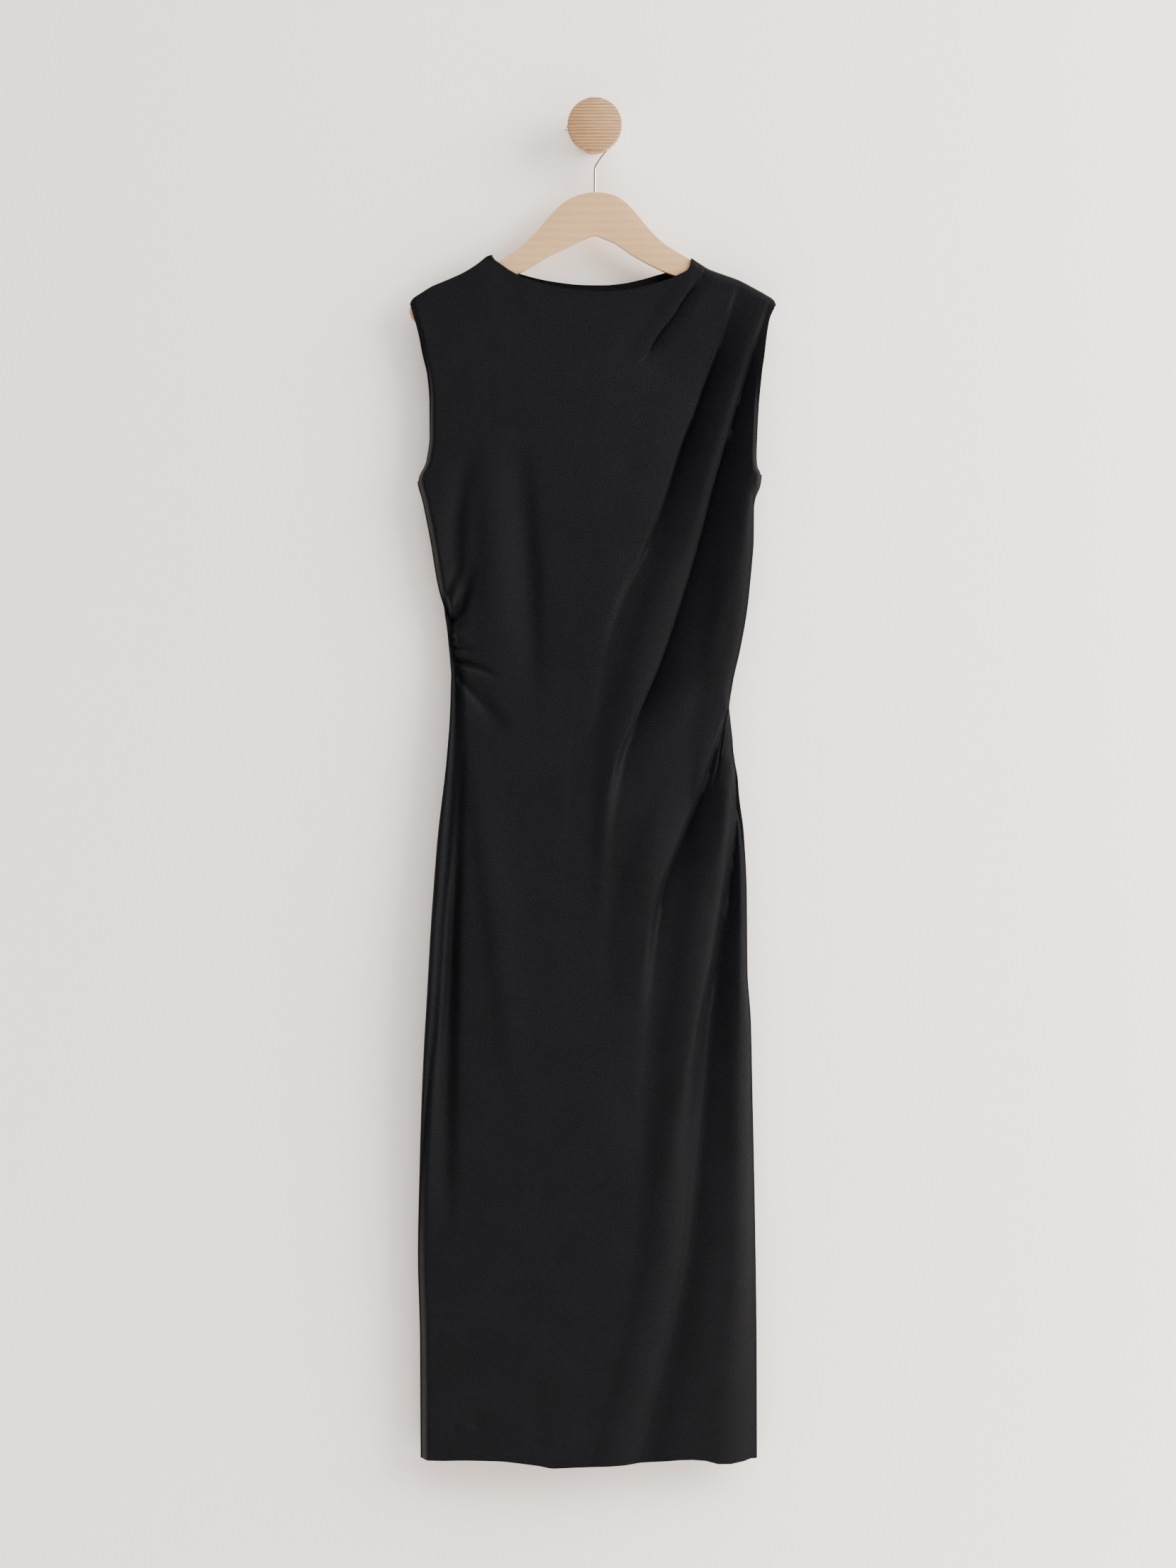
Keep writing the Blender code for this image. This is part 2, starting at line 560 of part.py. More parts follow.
def back_off(across, down, out_left, out_right):
    """Distance off the wall of the back's plain surface."""
    depth, share = tube_depth(across, down, out_left, out_right, BACK_DEPTH)
    cover = arm_cover(across, down)
    body = larger(cover, depth) - larger(0.0, 0.0)
    body -= drape_field(BACK_DRAPES, across, down)
    right_off = np.minimum(follow(RIGHT_SEAM_OFF, down), HANG_OFF)
    return HANG_OFF * (1 - share) + right_off * share - body


def turned_edge(step, seam_at, out_at, stop_at, edge, stop_off):
    """A curve from the seam, out to the side's fold and back on to the plain surface."""
    fold = (out_at - 0.125 * (seam_at + stop_at)) / 0.75
    near_off = edge * 0.85 + stop_off * 0.15
    far_off = edge * 0.25 + stop_off * 0.75
    rest = 1 - step
    weights = (rest ** 3, 3 * rest ** 2 * step, 3 * rest * step ** 2, step ** 3)
    across = sum(w * p for w, p in zip(weights, (seam_at, fold, fold, stop_at)))
    off = sum(w * p for w, p in zip(weights, (edge, near_off, far_off, stop_off)))
    return across, off


def outward(points):
    """Unit normals of a grid of points, taken from its rows and columns."""
    down_run = np.gradient(points, axis=0)
    side_run = np.gradient(points, axis=1)
    normal = np.cross(down_run, side_run)
    return normal / np.linalg.norm(normal, axis=2, keepdims=True)


def inner_points(outer, sign, seam_turns):
    """Inner side of a panel's wall, with its seam edges square to the seams."""
    inward = -sign * outward(outer)
    top = on_shoulder(outer[0, :, 0])
    inward[0, top] = (0.0, 0.0, -1.0)
    for column, underarm, angles in seam_turns:
        sewn = -outer[:, column, 2] >= underarm - 1.0
        inward[sewn, column] = np.stack([np.cos(angles), np.sin(angles),
                                         np.zeros(len(angles))], axis=1)[sewn]
    return outer + inward * CLOTH


def seam_angles(down, strip, side):
    """Direction through the wall at a side seam, turned where the back wraps forward."""
    turn = math.radians(90.0) * ease(*STRIP_TURNS, strip)
    if side > 0:
        tuck = ease(*TUCK_FROM, down) * (1 - ease(*TUCK_TO, down))
        return math.pi - turn + math.radians(TUCK_LEAN) * tuck
    return turn


def shell(name, outer, inner, material):
    """A closed wall between two grids of points."""
    rows, columns = outer.shape[:2]
    mesh = bpy.data.meshes.new(name)
    build = bmesh.new()
    layers = [[[build.verts.new(point * MM) for point in line] for line in grid]
              for grid in (outer, inner)]
    out, inn = layers
    for row in range(rows - 1):
        for column in range(columns - 1):
            for grid in layers:
                build.faces.new((grid[row][column], grid[row + 1][column],
                                 grid[row + 1][column + 1], grid[row][column + 1]))
    rim = [(0, c) for c in range(columns)] + [(r, columns - 1) for r in range(1, rows)]
    rim += [(rows - 1, c) for c in range(columns - 2, -1, -1)]
    rim += [(r, 0) for r in range(rows - 2, 0, -1)]
    for here, there in zip(rim, rim[1:] + rim[:1]):
        build.faces.new((out[here[0]][here[1]], out[there[0]][there[1]],
                         inn[there[0]][there[1]], inn[here[0]][here[1]]))
    bmesh.ops.recalc_face_normals(build, faces=build.faces)
    build.to_mesh(mesh)
    build.free()
    return place(name, mesh, material)


def place(name, mesh, material):
    mesh.shade_smooth()
    mesh.set_sharp_from_angle(angle=math.radians(50))
    mesh.materials.append(material)
    piece = bpy.data.objects.new(name, mesh)
    bpy.context.scene.collection.objects.link(piece)
    return piece


def finish(name, colour, roughness, metallic=0.0):
    """A material with one colour, in linear light."""
    material = bpy.data.materials.new(name)
    material.use_nodes = True
    shader = material.node_tree.nodes["Principled BSDF"]
    shader.inputs["Base Color"].default_value = (*colour, 1.0)
    shader.inputs["Roughness"].default_value = roughness
    shader.inputs["Metallic"].default_value = metallic
    material.diffuse_color = (*colour, 1.0)
    return material


def front_panel(material):
    outer = front_points()
    downs = -outer[:, :, 2]
    left_turn = seam_angles(downs[:, 0], follow(LEFT_STRIP, downs[:, 0]), -1)
    right_turn = seam_angles(downs[:, -1], follow(RIGHT_STRIP, downs[:, -1]), 1)
    outer[:, 0] += seam_shift(downs[:, 0], left_turn, -1, UNDERARM_LEFT, -1)
    outer[:, -1] += seam_shift(downs[:, -1], right_turn, -1, UNDERARM_RIGHT, 1)
    turns = ((0, UNDERARM_LEFT, left_turn), (-1, UNDERARM_RIGHT, right_turn))
    return shell("front_panel", outer, inner_points(outer, 1, turns), material)


def back_panel(material):
    outer = back_points()
    downs = -outer[:, :, 2]
    left_turn = seam_angles(downs[:, 0], follow(LEFT_STRIP, downs[:, 0]), -1)
    right_turn = seam_angles(downs[:, -1], follow(RIGHT_STRIP, downs[:, -1]), 1)
    for column, turn, underarm, side, seam_off in (
            (0, left_turn, UNDERARM_LEFT, -1, LEFT_SEAM_OFF),
            (-1, right_turn, UNDERARM_RIGHT, 1, RIGHT_SEAM_OFF)):
        sewn = downs[:, column] >= underarm - 1.0
        outer[sewn, column, 1] = -follow(seam_off, downs[:, column])[sewn]
        outer[:, column] += seam_shift(downs[:, column], turn, 1, underarm, side)
    turns = ((0, UNDERARM_LEFT, left_turn), (-1, UNDERARM_RIGHT, right_turn))
    return shell("back_panel", outer, inner_points(outer, -1, turns), material)


def seam_shift(downs, angles, sign, underarm, side):
    """Half the seam's gap, square to the direction through the wall."""
    shift = np.zeros((len(downs), 3))
    sewn = downs >= underarm - 1.0
    half = 0.5 * SEAM_GAP * sign
    shift[sewn, 0] = (half * side * np.sin(angles))[sewn]
    shift[sewn, 1] = (half * np.abs(np.cos(angles)))[sewn]
    return shift


def hanger_outline():
    """The flat hanger's outline, clockwise from the middle of its top."""
    right_top = [(reach, top) for reach, top, low in ARM_RIGHT]
    right_low = [(reach, low) for reach, top, low in ARM_RIGHT]
    left_top = [(-reach, top) for reach, top, low in ARM_LEFT]
    left_low = [(-reach, low) for reach, top, low in ARM_LEFT]
    ends = []
    for side, (tip, level), tops, lows in ((1, ARM_END_RIGHT, right_top, right_low),
                                           (-1, ARM_END_LEFT, left_top, left_low)):
        upper, lower = tops[-1], lows[-1]
        curve = []
        for step in range(1, 8):
            angle = math.pi * (0.5 - step / 8)
            height = upper[1] if angle > 0 else lower[1]
            curve.append((upper[0] + side * (tip - abs(upper[0])) * math.cos(angle),
                          level + (height - level) * abs(math.sin(angle))))
        ends.append(curve)
    loop = right_top + ends[0] + right_low[::-1]
    loop += left_low[1:] + ends[1][::-1] + left_top[:0:-1]
    return loop


def hanger(material):
    """Flat beech body cut to its outline, with eased edges and a bore for the wire."""
    mesh = bpy.data.meshes.new("hanger")
    build = bmesh.new()
    front = -(HANG_OFF + HANGER_THICK / 2)
    loop = [build.verts.new((x * MM, front * MM, -down * MM)) for x, down in hanger_outline()]
    face = build.faces.new(loop)
    moved = bmesh.ops.extrude_face_region(build, geom=[face])
    verts = [item for item in moved["geom"] if isinstance(item, bmesh.types.BMVert)]
    bmesh.ops.translate(build, verts=verts, vec=(0.0, HANGER_THICK * MM, 0.0))
    bmesh.ops.recalc_face_normals(build, faces=build.faces)
    build.to_mesh(mesh)
    build.free()
    body = place("hanger", mesh, material)
    bevel = body.modifiers.new("eased edge", "BEVEL")
    bevel.width = HANGER_EDGE * MM
    bevel.segments = 2
    bevel.limit_method = "ANGLE"
    bevel.angle_limit = math.radians(55)
    cut = body.modifiers.new("wire bore", "BOOLEAN")
    cut.operation = "DIFFERENCE"
    cut.object = wire_bore()
    return body


def wire_bore():
    mesh = bpy.data.meshes.new("wire_bore")
    build = bmesh.new()
    radius = (WIRE_RADIUS + BORE_SLACK) * MM
    bmesh.ops.create_cone(build, cap_ends=True, segments=12, radius1=radius, radius2=radius,
                          depth=2 * WIRE_SEAT * MM)
    build.to_mesh(mesh)
    build.free()
    cutter = bpy.data.objects.new("wire_bore", mesh)
    cutter.location = (0.0, -HANG_OFF * MM, -ARM_RIGHT[0][1] * MM)
    cutter.display_type = "WIRE"
    cutter.hide_render = True
    bpy.context.scene.collection.objects.link(cutter)
    return cutter


def hook_path():
    """The wire's centre line, from its seat in the hanger to its ball tip."""
    centre_x, centre_down = HOOK_CENTRE
    seat = ARM_RIGHT[0][1] + WIRE_SEAT - 2 * BORE_SLACK
    route = [(0.0, seat), (0.0, 60.0), (0.0, 46.0), (0.25, 41.5), (2.2, 37.4), (8.5, 28.5),
             (14.5, 21.6), (19.8, 15.6)]
    for degrees in range(-10, 166, 25):
        angle = math.radians(degrees)
        route.append((centre_x + HOOK_RADIUS * math.cos(angle),
                      centre_down - HOOK_RADIUS * math.sin(angle)))
    route.append((-28.0, -4.4))
    route.append(HOOK_TIP)
    return route


def smooth_route(route, each=4):
    """Points on a smooth curve through a route's own points."""
    knots = np.array(route, float)
    length = np.concatenate([[0.0], np.cumsum(np.linalg.norm(np.diff(knots, axis=0), axis=1))])
    ghost = np.concatenate([[2 * knots[0] - knots[1]], knots, [2 * knots[-1] - knots[-2]]])
    curve = []
    for spot in range(len(knots) - 1):
        before, start, stop, after = ghost[spot:spot + 4]
        count = max(1, round((length[spot + 1] - length[spot]) / each))
        for step in range(count):
            t = step / count
            curve.append(0.5 * (2 * start + (stop - before) * t
                                + (2 * before - 5 * start + 4 * stop - after) * t ** 2
                                + (3 * start - before - 3 * stop + after) * t ** 3))
    curve.append(knots[-1])
    return np.array(curve)


def hook(material):
    """Bent wire: a round tube along its path that swells to a ball at the tip."""
    path = smooth_route(hook_path())
    tip = path[-1]
    lean = (path[-1] - path[-3]) / np.linalg.norm(path[-1] - path[-3])
    ball = [(tip + lean * BALL_RADIUS * (1 - math.cos(angle)),
             max(WIRE_RADIUS if angle < 1 else 0.0, BALL_RADIUS * math.sin(angle)))
            for angle in np.radians((50, 75, 100, 125, 150, 168))]
    rings = [(point, WIRE_RADIUS) for point in path[:-1]] + ball
    mesh = bpy.data.meshes.new("hanger_hook")
    build = bmesh.new()
    loops = []
    for number, (point, radius) in enumerate(rings):
        before = rings[max(number - 1, 0)][0]
        after = rings[min(number + 1, len(rings) - 1)][0]
        run = (after - before) / np.linalg.norm(after - before)
        across = np.array([-run[1], run[0]])
        ring = []
        for side in range(WIRE_SIDES):
            angle = 2 * math.pi * side / WIRE_SIDES
            spot = point + across * radius * math.cos(angle)
            ring.append(build.verts.new((spot[0] * MM,
                                         (-HANG_OFF + radius * math.sin(angle)) * MM,
                                         -spot[1] * MM)))
        loops.append(ring)
    for here, there in zip(loops, loops[1:]):
        for side in range(WIRE_SIDES):
            after = (side + 1) % WIRE_SIDES
            build.faces.new((here[side], here[after], there[after], there[side]))
    build.faces.new(loops[0])
    build.faces.new(loops[-1])
    bmesh.ops.recalc_face_normals(build, faces=build.faces)
    build.to_mesh(mesh)
    build.free()
    return place("hanger_hook", mesh, material)


def wall_peg(material):
    """Turned peg: a disc at the front of a waisted neck that stands on the wall."""
    mesh = bpy.data.meshes.new("wall_peg")
    build = bmesh.new()
    loops = []
    for off, radius in PEG_PROFILE:
        loops.append([build.verts.new((radius * math.cos(angle) * MM, -off * MM,
                                       radius * math.sin(angle) * MM))
                      for angle in np.linspace(0, 2 * math.pi, PEG_SIDES, endpoint=False)])
    for here, there in zip(loops, loops[1:]):
        for side in range(PEG_SIDES):
            after = (side + 1) % PEG_SIDES
            build.faces.new((here[side], here[after], there[after], there[side]))
    build.faces.new(loops[0])
    build.faces.new(loops[-1])
    bmesh.ops.recalc_face_normals(build, faces=build.faces)
    build.to_mesh(mesh)
    build.free()
    return place("wall_peg", mesh, material)


def clear_scene():
    for old in list(bpy.data.objects):
        bpy.data.objects.remove(old, do_unlink=True)


def main():
    clear_scene()
    crepe = finish("black crepe", (0.011, 0.011, 0.012), 0.72)
    beech = finish("beech", (0.55, 0.39, 0.26), 0.5)
    oak = finish("oak", (0.52, 0.36, 0.23), 0.6)
    steel = finish("plated steel wire", (0.72, 0.72, 0.72), 0.2, 1.0)
    front_panel(crepe)
    back_panel(crepe)
    hanger(beech)
    hook(steel)
    wall_peg(oak)


main()
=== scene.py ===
"""Looks of a ruched column midi dress, hung on a wooden hanger from a round wall peg.

The dress is two sheets of heavy black crepe. Each is worked out as a grid of points from short
tables of lines, pleats, gathers and soft folds, then given a thin wall. Tables and cloth
functions are in millimetres, and meshes are in metres. X runs across the dress, Y runs into the
wall and Z runs up, from the centre of the peg's back face. "Down" is the drop below that centre,
"across" is the place along X and "off" is the distance off the wall.
"""

import math

import bmesh
import bpy
import numpy as np
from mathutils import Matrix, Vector


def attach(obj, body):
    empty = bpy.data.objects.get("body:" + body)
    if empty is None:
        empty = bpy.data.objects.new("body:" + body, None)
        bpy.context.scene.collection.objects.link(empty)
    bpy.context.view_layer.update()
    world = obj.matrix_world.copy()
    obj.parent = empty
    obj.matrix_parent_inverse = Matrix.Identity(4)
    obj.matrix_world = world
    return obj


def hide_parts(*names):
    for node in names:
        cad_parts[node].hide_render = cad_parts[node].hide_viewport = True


bl_info = {
    "name": "Ruched column midi dress",
    "version": (1, 0, 0),
    "blender": (4, 5, 0),
    "location": "View3D > Sidebar > Dress",
    "description": "A draped black dress on a wooden hanger and wall peg, with its stage",
    "category": "Object",
}

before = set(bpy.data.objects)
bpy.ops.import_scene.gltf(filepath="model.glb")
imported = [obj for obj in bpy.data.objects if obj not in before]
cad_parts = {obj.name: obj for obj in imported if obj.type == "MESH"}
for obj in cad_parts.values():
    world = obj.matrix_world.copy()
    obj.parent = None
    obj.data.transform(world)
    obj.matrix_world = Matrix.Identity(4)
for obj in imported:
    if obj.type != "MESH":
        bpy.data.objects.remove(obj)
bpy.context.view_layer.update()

MM = 0.001
SEAM_GAP = 0.3
# A point counts as sewn, or as in the shoulder seam, when it is within this of it
SEWN_ROOM = 1.0
SEAM_ROOM = 0.01

# Edges sharper than these are drawn sharp
CREASE = math.radians(60)
THREAD_CREASE = math.radians(50)
HOOK_CREASE = math.radians(40)
WOOD_CREASE = math.radians(35)

# Distances off the wall: of the side seams where the dress hangs straight, and of the hip fold
# and the side fold where they are turned round the right side
HANG_OFF = 30.0
HIP_TURN_OFF = 31.0
SIDE_TURN_OFF = 26.0
# How far the cloth stands off over the hanger's arms, the drops over which that fades, and the
# least that it stands off down to ARM_PAST below an arm's lower edge. EDGE_CLEAR holds the front
# and the back apart down to the underarms, and BLEND is how soft the change to the tube is
ARM_REACH = 9.0
ARM_FADE = (205.0, 372.0)
EDGE_CLEAR = 0.8
ARM_LEAST = 7.6
ARM_PAST = 4.0
EDGE_FADE = (340.0, 372.0)
BLEND = 2.0
# How far in from each side the tube is rounded, by the drop, and how full that rounding is
SIDE_POWER = 1.6
LEFT_ROUND = [(185, 5), (480, 7), (590, 10), (680, 12), (800, 9), (900, 8), (1060, 8), (1200, 8),
              (1410, 8)]
RIGHT_ROUND = [(185, 5), (640, 5), (900, 8), (1150, 18), (1300, 30), (1410, 34)]
BACK_ROUND = [(185, 8), (480, 14), (900, 24), (1410, 30)]
# The front lies flatter towards the right: by this share, over this part of the way across,
# until it is full again between these drops
SIDE_SINK = 0.5
SIDE_SINK_FROM = (0.5, 0.95)
SIDE_SINK_ENDS = (950.0, 1250.0)

# Drops of the underarms, the hem's ends and the rows that the top edge and the hem bend
UNDERARM_LEFT = 372.0
UNDERARM_RIGHT = 366.0
UNDERARM_RUN = 16.0
HEM_LEFT = 1406.0
HEM_RIGHT = 1404.5
WAIST_FADE = 560.0
HEM_RISE = 900.0
# The top edge's drop at each column is found in a few passes from this one
TOP_START = 170.0
TOP_PASSES = 12

# Lines that run down the front panel, as (down, across)
LEFT_SEAM = [
    (184.7, -195.5), (197, -192), (221, -185.6), (239, -182.2), (262, -177), (291, -174.8),
    (325, -174.8), (352, -178.4), (372, -186.6), (394, -181.3), (437, -172.7), (477, -166.2),
    (495, -162), (509, -156.5), (527, -153), (545, -151.6), (566, -148), (580, -146.4),
    (620, -146.3), (659, -147), (764, -153.8), (839, -160.5), (949, -168.4), (1004, -174.5),
    (1065, -180), (1131, -184.4), (1194, -185.6), (1280, -183.6), (1406, -183.1),
]
RIGHT_FACE = [
    (185.7, 191.8), (195, 187.5), (202, 184.7), (223, 181.1), (239, 179.3), (259, 176.5),
    (299, 173.3), (340, 171.5), (366, 170.7), (392, 169.4), (434, 168.5), (463, 166.2),
    (506, 161.9), (549, 154.5), (581, 147.2), (604, 143.4), (626, 144.7), (654, 147.2),
    (708, 152.4), (745, 157), (806, 160.1), (893, 161), (944, 164.5), (1022, 166.2),
    (1151, 168.8), (1280, 170.5), (1404.5, 170.9),
]
NECK_LEFT_LINE = [(134, -111), (185, -111), (300, -106), (420, -102), (500, -100), (575, -98),
                  (700, -106), (900, -116), (1410, -120)]
NECK_RIGHT_LINE = [(137, 103), (153, 102.6), (164, 96), (175, 83), (200, 60), (231, 40),
                   (270, 4), (330, -17), (420, -37), (520, -52), (700, -68), (900, -76),
                   (1410, -82)]
NECK_PLEAT_LINE = [(145, 115.5), (151, 113.5), (161, 107), (170, 101.3), (184, 90.8), (199, 81.8),
                   (219, 66), (239, 54), (269, 23.3), (330, 2), (420, -14), (520, -27),
                   (700, -42), (900, -48), (1410, -52)]
MIDDLE_PLEAT_LINE = [(159, 150), (172, 146.3), (189, 141), (203, 136.5), (241, 124.5),
                     (275, 111.8), (303, 102), (329, 91.5), (394, 70.5), (450, 48.8), (497, 23.3),
                     (570, 2), (700, -12), (900, -20), (1410, -24)]
SHOULDER_PLEAT_LINE = [(175, 181.3), (183, 180.4), (194, 177), (212, 171), (231, 164.3),
                       (267, 154.5), (303, 144), (344, 132), (386, 120), (428, 109.5),
                       (502, 87.8), (566, 66), (626, 40.5), (670, 23.3), (760, 10), (900, 4),
                       (1410, 2)]
HIP_FOLD_LINE = [(178, 185.5), (195, 182), (231, 174), (303, 167), (366, 167), (392, 168),
                 (434, 168.4), (463, 166.2), (506, 161.9), (549, 154.5), (581, 147.2),
                 (604, 142.9), (635, 130.5), (695, 109.5), (739, 92.3), (782, 75), (806, 66),
                 (871, 55.5), (936, 48.8), (1100, 38), (1200, 33), (1300, 27), (1410, 20)]
SIDE_FOLD_LINE = [(180, 188.6), (195, 184.8), (231, 177.5), (303, 170.3), (366, 169),
                  (392, 167.8), (434, 166.8), (506, 160), (549, 152.6), (581, 145.3), (604, 142),
                  (626, 144), (654, 146.6), (670, 146.6), (689, 144), (734, 141.8), (790, 136.3),
                  (850, 127), (878, 123), (936, 113.3), (1022, 105), (1108, 96.8), (1194, 87.8),
                  (1280, 70.5), (1367, 48.8), (1410, 38)]

# How far the right seam lies inside the face's outline, as (down, inset)
RIGHT_TUCK = [(346, 0), (357, -1.2), (366, -5.2), (377, -4.4), (392, 0.4), (434, 4), (560, 5),
              (604, 4.6), (630, 4.4), (654, 2.2), (680, 0.9), (708, 1.6), (740, 0.4),
              (1410, 0.3)]
# The right seam's wall leans round while it is tucked in, by this many degrees
TUCK_FROM = (385.0, 430.0)
TUCK_TO = (620.0, 690.0)
TUCK_LEAN = 25.0
# How far the back panel stands out past each seam, as (down, width), and the widths over which
# the seam's wall turns from facing across to facing the wall
STRIP_TURNS = (1.0, 6.0)
LEFT_STRIP = [(372, 0.4), (495, 0.4), (520, 3.2), (545, 2.6), (570, 4.6), (620, 6.3), (659, 8.5),
              (764, 13.2), (840, 12), (949, 10.4), (1004, 7), (1065, 3.6), (1131, 0.8),
              (1410, 0.5)]
RIGHT_STRIP = [(352, 0.4), (430, 0.5), (670, 0.5), (690, 1.8), (708, 1.8), (740, 0.6),
               (1410, 0.5)]

# The front's top edge, from the left shoulder tip round the neck to the right one
FRONT_TOP = [
    (-195.5, 184.7), (-193.5, 180.7), (-184, 173.9), (-173, 167), (-159, 161), (-148, 156.3),
    (-137, 151), (-123, 142), (-111, 133.7), (-104.5, 140.5), (-93, 148.5), (-82.5, 155.8),
    (-68.8, 161), (-44.3, 167.8), (-12, 172.5), (7.8, 173.6), (27.7, 172.6), (49, 168.8),
    (67.5, 163.5), (85, 157.3), (95, 152.6), (99, 149), (101, 144.5), (101.8, 139.5), (103, 137),
]
FRONT_TOP_RIGHT = [(103, 137), (112, 143), (119.5, 147.7), (134, 153.3), (152.5, 160),
                   (166, 167), (180.4, 175), (189.8, 181.4), (191.8, 185.7)]
NECK_ENDS = (FRONT_TOP[8][0], FRONT_TOP_RIGHT[0][0])
BACK_NECK = [(-111, 133.7), (-104, 139), (-92, 146.5), (-75, 153.5), (-44, 160.5), (-12, 164),
             (10, 164.3), (30, 162.5), (50, 158.3), (68, 153), (84, 148.5), (96, 143.6),
             (103, 137)]
HEM_DIP = [(-183, 1406), (-160, 1406.5), (-139.6, 1406.2), (-102, 1407), (-77.4, 1409.5),
           (-57.5, 1412.2), (-43.8, 1414.6), (-27.7, 1414), (-2.8, 1413), (29.6, 1411.6),
           (54.5, 1408.6), (79.3, 1406.8), (96.8, 1405.4), (114.2, 1406), (126.6, 1409.3),
           (136.5, 1410.6), (151.4, 1409), (166.4, 1406.5), (171, 1404.5)]

# Depth of the flattened tube of cloth, as (down, off the side seams)
FRONT_DEPTH = [(134, 8), (185, 10), (260, 14), (372, 16), (480, 15), (560, 14), (640, 15),
               (800, 18), (1000, 20), (1410, 18)]
BACK_DEPTH = [(134, 8), (185, 10), (260, 12), (372, 14), (480, 11), (560, 10), (640, 12),
              (800, 17), (1000, 18), (1410, 16)]
LEFT_SEAM_OFF = [(185, 30), (495, 30), (530, 31), (577, 35), (620, 39), (740, 40.5),
                 (840, 45), (1000, 46.5), (1065, 45), (1131, 41), (1250, 33), (1410, 30)]
RIGHT_SEAM_OFF = [(185, 30), (345, 30), (366, 29.5), (392, 26), (434, 21), (600, 21), (640, 23),
                  (680, 27.5), (720, 30), (1410, 30)]
# How far the hip fold and the side fold are turned round the right side, from 0 to 1
HIP_TURN = [(372, 0), (420, 1), (580, 1), (606, 0.35), (630, 0)]
SIDE_TURN = [(372, 0), (420, 1), (650, 1), (672, 0.5), (700, 0)]

# Folds whose left side lies over their right. Each grows from "start" to "whole", has a sharp
# edge down to "crisp", a soft one from "soft", and dies away from "fade" to "stop". "tall" is
# the height of the roll, "roll" how far its top lies before the edge, "reach" how far it rises
# over and "fall" the share of its height that it has lost at the edge. "edge" is the width of
# the drop at the edge, "deep" the dip behind it, "climb" the width over which the cloth comes
# out of the dip and "under" how far the dip runs back under the edge. "wide" is how far before
# the edge a soft one starts to fall, "keep" its share of the height and "lift" how much higher
# the cloth past it lies, a height that is lost again over LIFT_REACH
PLEATS = [
    dict(line=NECK_PLEAT_LINE, beside=MIDDLE_PLEAT_LINE, start=143, whole=175, crisp=234,
         soft=256, fade=226, stop=258, tall=1.2, roll=6, reach=22, edge=2.4, deep=3.8, climb=15,
         under=1.4, wide=4, keep=0.2, fall=0.25, lift=0.0),
    dict(line=MIDDLE_PLEAT_LINE, beside=SHOULDER_PLEAT_LINE, start=157, whole=270, crisp=350,
         soft=560, fade=420, stop=760, tall=1.8, roll=12, reach=50, edge=4.0, deep=16.0,
         climb=40, under=1.8, wide=6, keep=0.08, fall=0.25, lift=4.2),
    dict(line=SHOULDER_PLEAT_LINE, beside=RIGHT_FACE, start=168, whole=290, crisp=600,
         soft=770, fade=600, stop=920, tall=2.4, roll=10, reach=40, edge=5.0, deep=20.0,
         climb=46, under=1.6, wide=6, keep=0.07, fall=0.25, lift=5.0),
    dict(line=HIP_FOLD_LINE, beside=SIDE_FOLD_LINE, start=585, whole=660, crisp=775,
         soft=965, fade=840, stop=1220, tall=2.8, roll=12, reach=44, edge=6.0, deep=16.0,
         climb=44, under=0.8, wide=7, keep=0.09, fall=0.3, lift=4.4),
    dict(line=SIDE_FOLD_LINE, beside=RIGHT_FACE, start=640, whole=720, crisp=840,
         soft=1180, fade=900, stop=1800, tall=5.0, roll=9, reach=42, edge=8.0, deep=15.0,
         climb=32, under=0.4, wide=34, keep=0.8, fall=0.6, lift=0.0),
]
# The drop at a sharp edge starts this far past its line, and a soft one is this much wider
EDGE_FROM = 0.3
EDGE_SOFT = 3.0
# How fast the edge moves back and the fold loses height, as it gets soft
WIDE_POWER = 1.3
SOFT_POWER = 0.55
# The way out of the dip takes this share of the room to the next fold at most, and a shorter
# one is shallower
CLIMB_SHARE = 0.8
CLIMB_POWER = 1.35
DEEP_POWER = 0.7
# The cloth that is drawn back under the edge is caught up over this width
FOLD_CATCH = 12.0
# Where the lift starts to be lost, in widths of the way out, over what width, and how far down
LIFT_FROM = 1.2
LIFT_REACH = 70.0
LIFT_FADE = 110.0
# Folds rise from nothing at the top edge over this drop
TOP_CLEAR = 7.0

# Troughs gathered into the left seam: start down the seam, bend and end as (across, down)
# from that start, depth and half width. They grow from the seam over GATHER_RUN
GATHER_RUN = 3.0
GATHER_FADE = 1.6
GATHERS = [
    (507, (3, -20), (18, -46), 6.0, 3.8),
    (521, (11, -12), (25, -62), 12.0, 5.2),
    (533, (6, -3), (20, -12), 5.0, 2.8),
    (541, (5, 0), (15, 2), 4.0, 2.4),
    (549, (8, 1), (24, 4), 6.0, 2.9),
    (563, (16, 4), (46, 17), 7.5, 3.8),
    (577, (9, 11), (38, 44), 5.0, 4.4),
]
